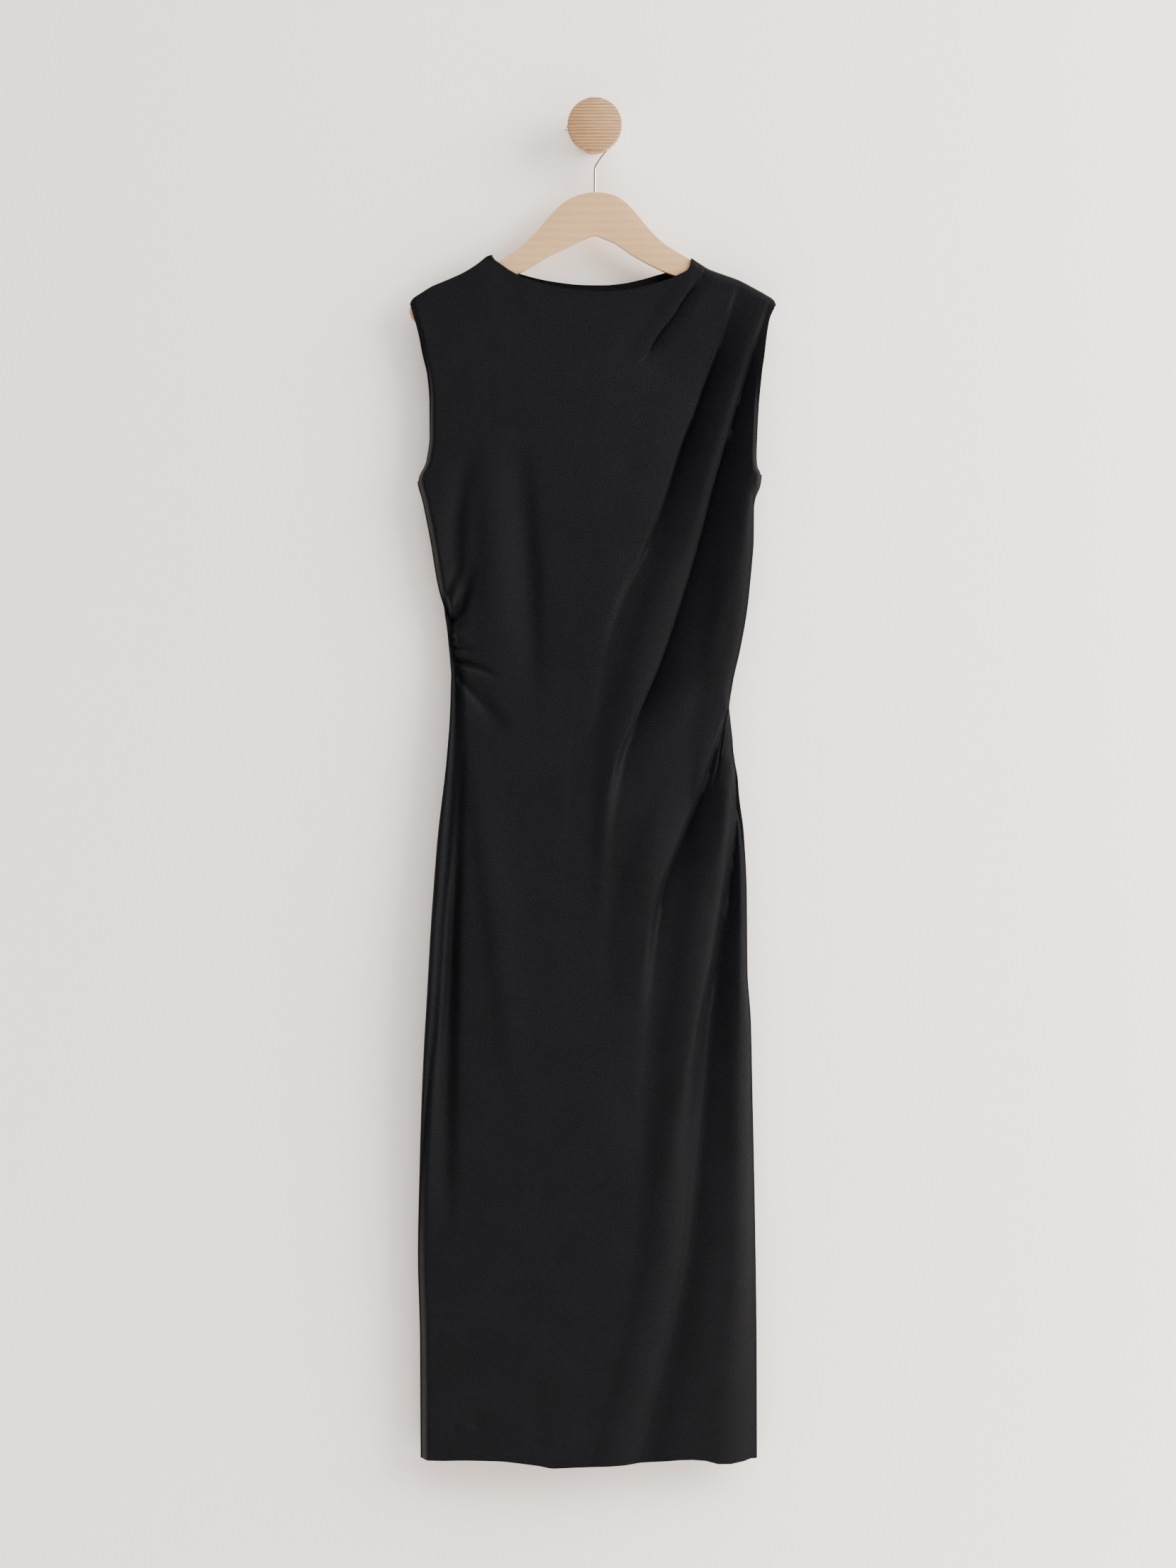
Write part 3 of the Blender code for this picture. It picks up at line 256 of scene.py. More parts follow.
# Soft troughs (positive) and ridges (negative) that hang in the front and the back: a curve
# of three (across, down) points, depth and half width. They grow over DRAPE_RUN from the side
TROUGH_STEPS = 13
DRAPE_ENDS = (0.02, 0.98)
DRAPE_RUN = 12.0
DRAPE_FADE = 0.7
DRAPE_LEAN = 0.35
FRONT_DRAPES = [
    (((-82, 330), (-71, 470), (-66, 605)), 3.6, 15),
    (((-112, 310), (-108, 440), (-112, 545)), -1.8, 17),
    (((-134, 350), (-146, 430), (-141, 505)), 3.4, 10),
    (((-128, 592), (-112, 615), (-96, 640)), 1.8, 11),
    (((-132, 650), (-108, 810), (-86, 1020)), -2.0, 15),
    (((-145, 640), (-153, 870), (-157, 1150)), 9.0, 11),
    (((96, 700), (112, 560), (128, 430)), 2.0, 13),
    (((146, 860), (150, 1050), (152, 1300)), -2.2, 13),
]
BACK_DRAPES = [
    (((-70, 420), (-64, 560), (-82, 760)), -2.6, 17),
    (((52, 430), (46, 580), (70, 800)), -2.4, 16),
    (((-20, 500), (-14, 700), (-10, 980)), -2.2, 18),
    (((-96, 900), (-100, 1150), (-98, 1400)), -2.4, 20),
    (((88, 940), (92, 1150), (90, 1400)), -2.6, 20),
    (((10, 1000), (4, 1200), (6, 1410)), 1.8, 22),
]

# Where the stitches of the hem pull at the cloth: across, down, depth and radius
FRONT_DIMPLES = [(-149, 1371, 1.4, 7), (-124.5, 1367.5, 2.0, 7.5), (-60, 1369.5, 2.4, 10),
                 (-8, 1371, 1.0, 8), (101, 1369, 1.2, 8)]
BACK_DIMPLES = [(-118, 1369, 1.1, 7), (-52, 1370, 1.3, 8), (24, 1369, 0.9, 7),
                (82, 1371, 1.1, 8)]
DIMPLE_FLAT = 1.5
# The turned edges, where the cloth is double: from this drop down to the hem, to this drop
# below the neck and this far in from the armholes
HEM_FROM = (1369.4, 1370.6)
NECK_TO = (194.0, 196.0)
ARM_TURN = (8.0, 9.0)
# The hem's stitches: their thread's radius and corners, in radians, the distance from one to
# the next, how far they reach past the turned edge and how far they end from the side seams
THREAD_RADIUS = 0.25
THREAD_CORNERS = (0.8, 2.4, 3.9, 5.5)
STITCH_STEP = 5.0
STITCH_REACH = 1.0
HEM_SIDE_ROOM = 12.0

# Rows of the cloth: from and to down the left side, from and to down the right, and how many
BANDS = [
    (184.7, 186.0, 185.7, 187.0, 1),
    (186.0, 188.6, 187.0, 189.6, 2),
    (188.6, 200.0, 189.6, 201.0, 6),
    (200.0, 240.0, 201.0, 240.0, 14),
    (240.0, 372.0, 240.0, 366.0, 34),
    (372.0, 495.0, 366.0, 440.0, 30),
    (495.0, 581.0, 440.0, 640.0, 66),
    (581.0, 640.0, 640.0, 705.0, 20),
    (640.0, 900.0, 705.0, 900.0, 40),
    (900.0, 1368.5, 900.0, 1368.5, 49),
    (1368.5, 1371.5, 1368.5, 1371.5, 3),
    (1371.5, HEM_LEFT, 1371.5, HEM_RIGHT, 12),
]
# Guides across the front: line, share of the way from left to right, offsets of the columns
# that shape a pleat's edge, and how many plain columns follow it. The last is the right seam,
# whose line is worked out
EDGE_STEPS = (-16.0, -11.5, -8.0, -5.4, -3.4, -2.0, -1.0, -0.3, 0.3, 0.7, 1.0, 1.4, 1.9, 2.5,
              3.4, 5.0, 7.5, 11.0)
GUIDES = [
    (LEFT_SEAM, 0.0, (0.0,), 27),
    (NECK_LEFT_LINE, 0.15, (-5.0, -2.4, 0.0, 1.4, 3.4, 6.0), 13),
    (NECK_RIGHT_LINE, 0.38, (-6.0, -4.0, -2.4, -1.2, -0.5, 0.0), 1),
    (NECK_PLEAT_LINE, 0.46, EDGE_STEPS, 6),
    (MIDDLE_PLEAT_LINE, 0.60, EDGE_STEPS, 6),
    (SHOULDER_PLEAT_LINE, 0.74, EDGE_STEPS, 8),
    (HIP_FOLD_LINE, 0.90, EDGE_STEPS, 4),
    (SIDE_FOLD_LINE, 0.95, EDGE_STEPS, 8),
    (None, 1.0, (0.0,), 0),
]
HIP_GUIDE = 6
EDGE_ROOM = 32.0
SEAM_CROWD = 1.5
# Columns and reach of the back's turn at each side, and how its curve leans to its two ends
BACK_TURN = 12
BACK_TURN_REACH = 11.0
BACK_BETWEEN = 4
NEAR_SHARE = 0.85
FAR_SHARE = 0.25
STRIP_ROLL = 2.9
STRIP_MOST = 9.0
NEAR_POWER = 2.5
# The back's plain columns: place across at the top and below the waist
BACK_LINES = [(-168, -122), (-140, -112), (-111, -102), (-109.6, -92), (-104, -78), (-78, -58),
              (-42, -34), (-4, -6), (34, 22), (68, 50), (99, 72), (101.8, 84), (103, 95),
              (138, 106), (164, 116)]
BACK_SETTLE = (134.0, 640.0)

# Hanger: down to its top and its lower edge, by the distance along each arm
ARM_LEFT = [(0, 67.7, 112.7), (11, 69.2, 117), (21.8, 72.6, 122), (35.2, 80.6, 128.5),
            (48.5, 93.9, 135), (59.3, 107, 141.5), (70, 118, 147.5), (80.7, 127.3, 153.2),
            (91.4, 134.6, 158.5), (103.4, 142, 163.5), (123, 151, 171), (137, 155.4, 177),
            (159, 164.6, 188), (173, 171, 196), (182, 176.8, 202), (187, 182.4, 205)]
ARM_RIGHT = [(0, 67.7, 112.7), (11, 68.7, 117), (21, 71.3, 121), (31.8, 77.9, 128.5),
             (42.5, 88.7, 135.6), (53.3, 102, 141.5), (64, 114, 147), (74.7, 123.3, 152),
             (88, 131.7, 157), (97, 137, 160.5), (103, 141, 163), (112, 147, 166.5),
             (119.5, 151.2, 169), (134, 157, 175), (152.5, 163.9, 184), (166, 170.8, 191),
             (175, 176.4, 196), (180, 181.8, 199)]
# Its ends, its thickness, and how far its edges are eased where they are sharper than EASED_FROM
ARM_ENDS = (-195.5, 188.3)
HANGER_THICK = 11.0
HANGER_EDGE = 2.6
EASED_FROM = math.radians(55)

# Hook: its stem's points, as (across, down), then the degrees round its bend and its tip
WIRE_RADIUS = 1.5
WIRE_SUNK = 6.0
BALL_RADIUS = 2.65
BALL_BELOW = 2.0
HOOK_STEM = [(0.0, 60.0), (0.0, 46.0), (0.25, 41.5), (2.2, 37.4), (8.5, 28.5), (14.5, 21.6),
             (19.8, 15.6)]
HOOK_CENTRE = (-1.2, 5.2)
HOOK_RADIUS = 25.5
HOOK_BEND = range(-10, 166, 25)
HOOK_END = (-28.0, -4.4)
HOOK_TIP = (-29.0, -0.4)

# Turned peg: off the wall, radius
PEG_PROFILE = [(0, 22), (3, 22), (9, 20.2), (18, 18.7), (26, 18.3), (34, 18.3), (38, 19.2),
               (41, 22.5), (42.5, 26.5), (43.6, 28.2), (45.2, 28.6), (57.6, 28.6), (59.3, 27.9),
               (60, 26.6)]
# Length over which the hanger's ends are rounded, and the least of their height that is left
HANGER_TIP = 9.0
TIP_LEAST = 0.02
# A wave texture of this scale has bands one metre apart
WAVE_SCALE = 0.314

# Stage, in metres
FLOOR = -1.62
ROOM_WIDE = 6.0
ROOM_DEEP = (-8.0, 6.0)
WALL_WIDE = 4.0
WALL_TOP = 2.2
WALL_BEHIND = 0.001
MIDDLE = (0.0, -0.03, -0.69)
CAMERA_PLACE = (-0.0071, -4.03, -0.6932)
CAMERA_LENS = 86.8
CAMERA_SENSOR = 36.0
CAMERA_FAR = 50.0
BACK_PLACE = (1.4, 2.6, 0.2)
BACK_WIDE = 1.8
BACK_TALL = 2.4
BACK_POWER = 200.0
WINDOW_HEIGHT = 0.36
WINDOW_AWAY = 4.6
WINDOW_WIDE = 4.6
WINDOW_TALL = 3.2
CEILING_ANGLE = math.radians(18)
CEILING_HEIGHT = 2.2
CEILING_SPREAD = math.radians(70)
CEILING_SHARE = 0.48


def follow(rows, at):
    """Places on a smooth line through (key, value) rows, held level past both ends."""
    keys, values = (np.array(column, float) for column in zip(*rows))
    at = np.clip(np.asarray(at, float), keys[0], keys[-1])
    step = np.diff(keys)
    slope = np.diff(values) / step
    lean = np.empty_like(values)
    lean[0], lean[-1] = slope[0], slope[-1]
    before, after = slope[:-1], slope[1:]
    same = before * after > 0
    total = np.where(same, before + after, 1.0)
    lean[1:-1] = np.where(same, 2 * before * after / total, 0.0)
    spot = np.clip(np.searchsorted(keys, at, side="right") - 1, 0, len(step) - 1)
    share = (at - keys[spot]) / step[spot]
    rest = 1 - share
    ends = values[spot] * rest * rest * (1 + 2 * share)
    ends += values[spot + 1] * share * share * (3 - 2 * share)
    bends = lean[spot] * share * rest * rest - lean[spot + 1] * share * share * rest
    return ends + bends * step[spot]


def ease(start, stop, at):
    """Rises softly from 0 at start to 1 at stop."""
    share = np.clip((np.asarray(at, float) - start) / (stop - start), 0.0, 1.0)
    return share * share * (3 - 2 * share)


def larger(one, other):
    """The larger of two fields, with a soft change from one to the other."""
    return 0.5 * (one + other + np.sqrt((one - other) ** 2 + BLEND * BLEND)) - 0.5 * BLEND


def right_seam(down):
    """Where the right side seam runs at this drop, tucked in behind the face's outline."""
    return follow(RIGHT_FACE, down) - follow(RIGHT_TUCK, down)


def line_across(number, down):
    """Where a guide line of the front runs at this drop."""
    line = GUIDES[number][0]
    return follow(line, down) if line else right_seam(down)


def front_columns():
    """One entry a column: guide before it, offset from that guide or share to the next."""
    columns = []
    for number, (_, _, offsets, plain) in enumerate(GUIDES):
        columns += [(number, offset, None) for offset in offsets]
        shares = [(step + 1) / (plain + 1) for step in range(plain)]
        if number == 0:
            shares = [value ** SEAM_CROWD for value in shares]
        columns += [(number, 0.0, value) for value in shares]
    return columns


def edge_offset(number, offset, down):
    """A pleat column's offset, drawn in where its neighbours are close."""
    if offset == 0.0:
        return 0.0
    other = number + (1 if offset > 0 else -1)
    room = line_across(other, down) - line_across(number, down)
    room = room if offset > 0 else -room
    return offset * np.clip(room / EDGE_ROOM, -1.0, 1.0)


def column_across(column, down):
    """Where a column of the front runs at this drop."""
    number, offset, share = column
    here = line_across(number, down)
    if share is None:
        return here + edge_offset(number, offset, down)
    after = line_across(number + 1, down)
    start = here + edge_offset(number, GUIDES[number][2][-1], down)
    stop = after + edge_offset(number + 1, GUIDES[number + 1][2][0], down)
    return start + (stop - start) * share


def column_share(column):
    """A column's share of the way across, which fans the rows out."""
    number, offset, share = column
    here = GUIDES[number][1]
    if share is not None:
        return here + (GUIDES[number + 1][1] - here) * share
    if offset == 0.0:
        return here
    other = GUIDES[number + (1 if offset > 0 else -1)][1]
    return here + (other - here) * abs(offset) / EDGE_ROOM


def band_rows():
    """Drops of each row at the left and the right side."""
    left, right = [BANDS[0][0]], [BANDS[0][2]]
    for from_left, to_left, from_right, to_right, count in BANDS:
        for step in range(1, count + 1):
            left.append(from_left + (to_left - from_left) * step / count)
            right.append(from_right + (to_right - from_right) * step / count)
    return np.array(left), np.array(right)


def front_top(across):
    """Drop of the front's top edge: left shoulder, neck, right shoulder."""
    right = follow(FRONT_TOP_RIGHT, across)
    return np.where(across >= NECK_ENDS[1], right, follow(FRONT_TOP, across))


def back_top(across):
    """Drop of the back's top edge, which stands higher at the neck than the front's."""
    inside = (across > BACK_NECK[0][0]) & (across < BACK_NECK[-1][0])
    return np.where(inside, follow(BACK_NECK, across), front_top(across))


def sheet_downs(across_at, shares, top_edge):
    """Drops of every point of a panel, with rows that fan from side to side."""
    left, right = band_rows()
    shares = np.array(shares)
    tops = np.full(len(shares), TOP_START)
    for _ in range(TOP_PASSES):
        tops = 0.5 * tops + 0.5 * top_edge(across_at(tops))
    tops[0], tops[-1] = left[0], right[0]
    level = left[:, None] * (1 - shares) + right[:, None] * shares
    hems = follow(HEM_DIP, across_at(np.full(len(shares), HEM_LEFT)))
    fade = 1 - ease(left[0], WAIST_FADE, left)[:, None]
    rise = ease(HEM_RISE, HEM_LEFT, left)[:, None]
    return level + (tops - level[0]) * fade + (hems - level[-1]) * rise


def arm_cover(across, down):
    """How far the cloth stands off where it lies over the hanger's arms."""
    below = np.clip(down - shoulder_line(across), 0.0, ARM_REACH) / ARM_REACH
    roll = ARM_REACH * np.sqrt(np.clip(1 - (1 - below) ** 2, 0.0, 1.0))
    return roll * (1 - ease(*ARM_FADE, down)) + EDGE_CLEAR * (1 - ease(*EDGE_FADE, down))


def shoulder_line(across):
    """Drop of the shoulder's top, carried on over the hanger between the neck's ends."""
    inside = (across > NECK_ENDS[0]) & (across < NECK_ENDS[1])
    return np.where(inside, follow(BACK_NECK, across) - ARM_REACH * 0.5, front_top(across))


def tube_depth(across, down, left, right, depths, rounds):
    """Depth of the flattened tube between its two sides."""
    share = np.clip((across - left) / (right - left), 0.0, 1.0)
    crown = 1.0
    for distance, turn in zip((across - left, right - across), rounds):
        crown = crown * (1 - np.clip(1 - distance / follow(turn, down), 0.0, 1.0) ** SIDE_POWER)
    return follow(depths, down) * np.clip(crown, 0.0, 1.0), share


def trough(points, depth, width, across, down, lean=0.0):
    """A soft trough (or a ridge, if depth is negative) along a curve of three points."""
    start, bend, stop = (np.array(point, float) for point in points)
    steps = np.linspace(0.0, 1.0, TROUGH_STEPS)[:, None]
    line = start * (1 - steps) ** 2 + (2 * bend - 0.5 * (start + stop)) * 2 * steps * (
        1 - steps) + stop * steps ** 2
    best = np.full(across.shape, np.inf)
    along = np.zeros(across.shape)
    beside = np.zeros(across.shape)
    for number in range(len(line) - 1):
        here, run = line[number], line[number + 1] - line[number]
        share = ((across - here[0]) * run[0] + (down - here[1]) * run[1]) / (run @ run)
        share = np.clip(share, 0.0, 1.0)
        gap = np.hypot(across - here[0] - run[0] * share, down - here[1] - run[1] * share)
        along = np.where(gap < best, (number + share) / (len(line) - 1), along)
        beside = np.where(gap < best, across - here[0] - run[0] * share, beside)
        best = np.minimum(gap, best)
    width = width * (1 - lean * np.tanh(beside / width) * np.sign(depth))
    return depth * np.exp(-(best / width) ** 2), along


def gather_field(across, down):
    """Troughs that start deep in the left seam and die away in the cloth."""
    field = np.zeros(across.shape)
    for start_down, bend, stop, depth, width in GATHERS:
        seam = float(follow(LEFT_SEAM, start_down))
        points = [(seam, start_down), (seam + bend[0], start_down + bend[1]),
                  (seam + stop[0], start_down + stop[1])]
        dip, along = trough(points, depth, width, across, down)
        field += dip * (1 - along ** GATHER_FADE)
    return field


def drape_field(drapes, across, down):
    """Long soft troughs and ridges that fade at both ends."""
    field = np.zeros(across.shape)
    for points, depth, width in drapes:
        dip, along = trough(points, depth, width, across, down, DRAPE_LEAN)
        field += dip * np.sin(math.pi * np.clip(along, *DRAPE_ENDS)) ** DRAPE_FADE
    return field


def dimple_field(dimples, across, down):
    """Small round dips."""
    field = np.zeros(across.shape)
    for at_across, at_down, depth, radius in dimples:
        apart = np.hypot(across - at_across, DIMPLE_FLAT * (down - at_down))
        field += depth * np.exp(-(apart / radius) ** 2)
    return field


def pleat_shape(across, down, clear):
    """Height and sideways shift of every fold: an edge, the drop behind it and the way out."""
    height = np.zeros(across.shape)
    shift = np.zeros(across.shape)
    for fold in PLEATS:
        at = follow(fold["line"], down)
        softened = ease(fold["crisp"], fold["soft"], down)
        life = ease(fold["start"], fold["whole"], down) * ease(0.0, TOP_CLEAR, clear)
        life = life * (1 - (1 - fold["keep"]) * softened ** SOFT_POWER)
        life = life * (1 - ease(fold["fade"], fold["stop"], down))
        past = across - at
        first = EDGE_FROM * (1 - softened) - fold["wide"] * softened ** WIDE_POWER
        last = fold["edge"] + EDGE_SOFT * softened
        drop = np.clip((past - first) / (last - first), 0.0, 1.0) ** (1 + softened)
        room = np.clip(follow(fold["beside"], down) - at, 0.1, None)
        climb = np.minimum(fold["climb"], CLIMB_SHARE * room)
        deep = fold["deep"] * (climb / fold["climb"]) ** DEEP_POWER
        roll = past + fold["roll"]
        risen = 1 - np.where(roll < 0, roll / (fold["reach"] - fold["roll"]),
                             math.sqrt(fold["fall"]) * roll / fold["roll"]) ** 2
        out = np.clip(1 - (past - last) / climb, 0.0, 1.0) ** CLIMB_POWER
        height += life * (fold["tall"] * np.clip(risen, 0.0, 1.0) * (1 - drop)
                          - deep * drop * np.minimum(out, 1.0))
        raised = ease(last, last + climb, past)
        raised *= 1 - ease(LIFT_FROM * climb, LIFT_FROM * climb + LIFT_REACH, past)
        raised *= softened * (1 - ease(fold["stop"] - LIFT_FADE, fold["stop"] + LIFT_FADE, down))
        height += fold["lift"] * raised
        back = fold["under"] * (1 - softened) * drop
        shift -= life * back * (1 - ease(last, last + FOLD_CATCH, past))
    return height, shift


def front_points():
    """Outer points of the front panel, as an array of rows, columns and (x, y, z)."""
    columns = front_columns()
    shares = [column_share(column) for column in columns]

    def across_at(downs):
        return np.array([float(column_across(column, down))
                         for column, down in zip(columns, downs)])

    down = sheet_downs(across_at, shares, front_top)
    across = np.stack([column_across(column, down[:, number])
                       for number, column in enumerate(columns)], axis=1)
    left = follow(LEFT_SEAM, down)
    right = np.maximum(follow(RIGHT_FACE, down), right_seam(down))
    depth, share = tube_depth(across, down, left, right, FRONT_DEPTH,
                              (LEFT_ROUND, RIGHT_ROUND))
    sink = SIDE_SINK * ease(*SIDE_SINK_FROM, share) * (1 - ease(*SIDE_SINK_ENDS, down))
    depth = depth * (1 - sink)
    rest = np.clip(1 - (across - left) / follow(LEFT_ROUND, down), 0.0, 1.0) ** SIDE_POWER
    side_off = HANG_OFF + (follow(LEFT_SEAM_OFF, down) - HANG_OFF) * rest
    off = side_off + larger(arm_cover(across, down), depth)
    height, shift = pleat_shape(across, down, down - down[0])
    off += height
    arms = np.where(across < 0, follow([row[::2] for row in ARM_LEFT], -across),
                    follow([row[::2] for row in ARM_RIGHT], across))
    floor = HANG_OFF + np.minimum(arm_cover(across, down), ARM_LEAST)
    off = np.where(down < arms + ARM_PAST, np.maximum(off, floor), off)
    off -= gather_field(across, down) * np.clip((across - left) / GATHER_RUN, 0.0, 1.0)
    off -= drape_field(FRONT_DRAPES, across, down) * ease(0.0, DRAPE_RUN, across - left)
    off -= dimple_field(FRONT_DIMPLES, across, down)
    off = turned_off(columns, down, off)
    off[0] = HANG_OFF + np.where(on_shoulder(across[0]), SEAM_GAP / 2, off[0] - HANG_OFF)
    return np.stack([across + shift * ease(0.0, EDGE_ROOM, right - across), -off, -down], axis=2)


def turned_off(columns, down, off):
    """Distance off the wall, with the right side's columns turned round to their seam."""
    off = off.copy()
    for number, column in enumerate(columns):
        if column[0] < HIP_GUIDE:
            continue
        line = down[:, number]
        past = (column_share(column) - GUIDES[HIP_GUIDE][1]) / (1 - GUIDES[HIP_GUIDE][1])
        turns = [follow(HIP_TURN, line), follow(SIDE_TURN, line),
                 ease(UNDERARM_RIGHT - UNDERARM_RUN, UNDERARM_RIGHT, line)]
        offs = [np.full(len(line), HIP_TURN_OFF), np.full(len(line), SIDE_TURN_OFF),
                follow(RIGHT_SEAM_OFF, line)]
        first = min(1, int(2 * past)) if past >= 0 else 0
        part = np.clip(2 * past - first, 0.0, 1.0)
        near = 1.0
        if column[0] == HIP_GUIDE and column[1] < 0:
            near = 1 - column[1] / EDGE_STEPS[0]
        turn = (turns[first] * (1 - part) + turns[first + 1] * part) * near ** NEAR_POWER
        if first == 1 and number < len(columns) - 1:
            turn = np.minimum(turn, turns[1])
        goal = offs[first] * (1 - part) + offs[first + 1] * part
        off[:, number] = off[:, number] * (1 - turn) + goal * turn
    return off


def on_shoulder(across):
    """Whether a point of the top edge lies in a shoulder seam and not at the neck."""
    return (across <= NECK_ENDS[0] + SEAM_ROOM) | (across >= NECK_ENDS[1] - SEAM_ROOM)


def back_plain(down):
    """Places across of the back's plain columns, for a drop at each."""
    lines = np.array(BACK_LINES, float)
    spots = np.linspace(0, len(lines) - 1, (len(lines) - 1) * BACK_BETWEEN + 1)
    tops, lows = (np.interp(spots, range(len(lines)), column) for column in lines.T)
    return tops + (lows - tops) * ease(*BACK_SETTLE, down)


def back_across(downs):
    """Rough places across of every column of the back, which set its rows' drops."""
    left, right = follow(LEFT_SEAM, downs), right_seam(downs)
    step = BACK_TURN_REACH * np.linspace(0.0, 1.0, BACK_TURN)
    return np.concatenate([left[:BACK_TURN] + step, back_plain(downs[BACK_TURN:-BACK_TURN]),
                           right[-BACK_TURN:] - step[::-1]])


def back_points():
    """Outer points of the back panel, from the left seam round to the right one."""
    count = (len(BACK_LINES) - 1) * BACK_BETWEEN + 1 + 2 * BACK_TURN
    start = back_across(np.full(count, BACK_SETTLE[1]))
    shares = (start - start[0]) / (start[-1] - start[0])
    down = sheet_downs(back_across, shares, back_top)
    points = np.empty(down.shape + (3,))
    for row, line in enumerate(down):
        across, off = back_row(line)
        if row == 0:
            off = np.where(on_shoulder(across), HANG_OFF - SEAM_GAP / 2, off)
        points[row] = np.stack([across, -off, -line], axis=1)
    return points


def back_row(down):
    """Across and off of one row of the back: a turn, the plain run and another turn."""
    left, right = follow(LEFT_SEAM, down), right_seam(down)
    out_left = left - follow(LEFT_STRIP, down)
    out_right = right + follow(RIGHT_STRIP, down)
    across = back_across(down)
    off = back_off(across, down, out_left, out_right)
    for side, part, seam, out, seam_off, underarm in (
            (-1, slice(0, BACK_TURN), left, out_left, LEFT_SEAM_OFF, UNDERARM_LEFT),
            (1, slice(-BACK_TURN, None), right, out_right, RIGHT_SEAM_OFF, UNDERARM_RIGHT)):
        line = down[part]
        sewn = line >= underarm - SEWN_ROOM
        stop = seam - side * BACK_TURN_REACH
        stop_off = back_off(stop, down, out_left, out_right)[part]
        edge = follow(seam_off, line)
        step = np.linspace(0.0, 1.0, BACK_TURN)[::-side]
        round_across, round_off = turned_edge(step, seam[part], out[part], stop[part], edge,
                                              stop_off)
        across[part] = np.where(sewn, round_across, across[part])
        off[part] = np.where(sewn, round_off, off[part])
    return across, off


def back_off(across, down, out_left, out_right):
    """Distance off the wall of the back's plain surface."""
    depth, share = tube_depth(across, down, out_left, out_right, BACK_DEPTH,
                              (BACK_ROUND, BACK_ROUND))
    body = larger(arm_cover(across, down), depth)
    body -= drape_field(BACK_DRAPES, across, down) + dimple_field(BACK_DIMPLES, across, down)
    right_off = np.minimum(follow(RIGHT_SEAM_OFF, down), HANG_OFF)
    return HANG_OFF * (1 - share) + right_off * share - body


def turned_edge(step, seam_at, out_at, stop_at, edge, stop_off):
    """A curve from the seam, out to the side's fold and back on to the plain surface."""
    # The middle of the curve, which its two inner points pull to, has to reach the fold.
    fold = (out_at - 0.125 * (seam_at + stop_at)) / 0.75
    near_off = edge * NEAR_SHARE + stop_off * (1 - NEAR_SHARE)
    near_off = near_off + STRIP_ROLL * np.minimum(np.abs(seam_at - out_at), STRIP_MOST)
    far_off = edge * FAR_SHARE + stop_off * (1 - FAR_SHARE)
    rest = 1 - step
    weights = (rest ** 3, 3 * rest ** 2 * step, 3 * rest * step ** 2, step ** 3)
    return [sum(weight * place for weight, place in zip(weights, places))
            for places in ((seam_at, fold, fold, stop_at), (edge, near_off, far_off, stop_off))]


def outward(points):
    """Unit normals of a grid of points, taken from its rows and columns."""
    down_run = np.gradient(points, axis=0)
    side_run = np.gradient(points, axis=1)
    normal = np.cross(down_run, side_run)
    return normal / np.linalg.norm(normal, axis=2, keepdims=True)


def inner_points(outer, sign, seam_turns, wall):
    """Inner side of a panel's wall, with its seam edges square to the seams."""
    inward = -sign * outward(outer)
    top = on_shoulder(outer[0, :, 0])
    inward[0, top] = (0.0, 0.0, -1.0)
    for column, underarm, angles in seam_turns:
        sewn = -outer[:, column, 2] >= underarm - SEWN_ROOM
        inward[sewn, column] = np.stack([np.cos(angles), np.sin(angles),
                                         np.zeros(len(angles))], axis=1)[sewn]
    return outer + inward * turned_wall(outer, wall)[:, :, None]


def turned_wall(outer, wall):
    """Thickness at each point: the cloth is double where its edges are turned in."""
    rows = np.repeat(band_rows()[0][:, None], outer.shape[1], axis=1)
    across = outer[:, :, 0]
    side = np.minimum(across - across[:, :1], across[:, -1:] - across)
    double = ease(*HEM_FROM, rows) + 1 - ease(*NECK_TO, rows)
    double += (1 - ease(*ARM_TURN, side)) * (rows < UNDERARM_LEFT)
    return wall * (1 + np.clip(double, 0.0, 1.0))


def hem_stitches(name, outer, inner):
    """Slanted stitches that catch the hem's turned edge to the cloth, on the inside."""
    rows = band_rows()[0]
    above = int(np.searchsorted(rows, HEM_FROM[0] - STITCH_REACH)) - 1
    below = int(np.searchsorted(rows, HEM_FROM[1] + STITCH_REACH))
    lines = []
    for row in (above, below):
        inward = inner[row] - outer[row]
        inward /= np.linalg.norm(inward, axis=1, keepdims=True)
        lines.append(inner[row] + inward * THREAD_RADIUS)
    run = np.append(0.0, np.linalg.norm(np.diff(lines[0], axis=0), axis=1).cumsum())
    spots = np.arange(HEM_SIDE_ROOM, run[-1] - HEM_SIDE_ROOM, STITCH_STEP)
    path = [[np.interp(spot, run, lines[number % 2][:, axis]) for axis in range(3)]
            for number, spot in enumerate(spots)]
    build = bmesh.new()
    ring_before = None
    for point in path:
        ring = [build.verts.new(Vector(point) * MM + Vector(
            (0, THREAD_RADIUS * MM * math.cos(turn), THREAD_RADIUS * MM * math.sin(turn))))
            for turn in THREAD_CORNERS]
        if ring_before:
            for number in range(len(ring)):
                after = (number + 1) % len(ring)
                build.faces.new((ring_before[number], ring_before[after], ring[after],
                                 ring[number]))
        else:
            build.faces.new(ring)
        ring_before = ring
    build.faces.new(ring_before)
    bmesh.ops.recalc_face_normals(build, faces=build.faces)
    mesh = bpy.data.meshes.new(name)
    build.to_mesh(mesh)
    build.free()
    mesh.shade_smooth()
    mesh.set_sharp_from_angle(angle=THREAD_CREASE)
    thread = bpy.data.materials.get("black thread") or thread_material()
    return add_piece(name, mesh, thread, "crepe")


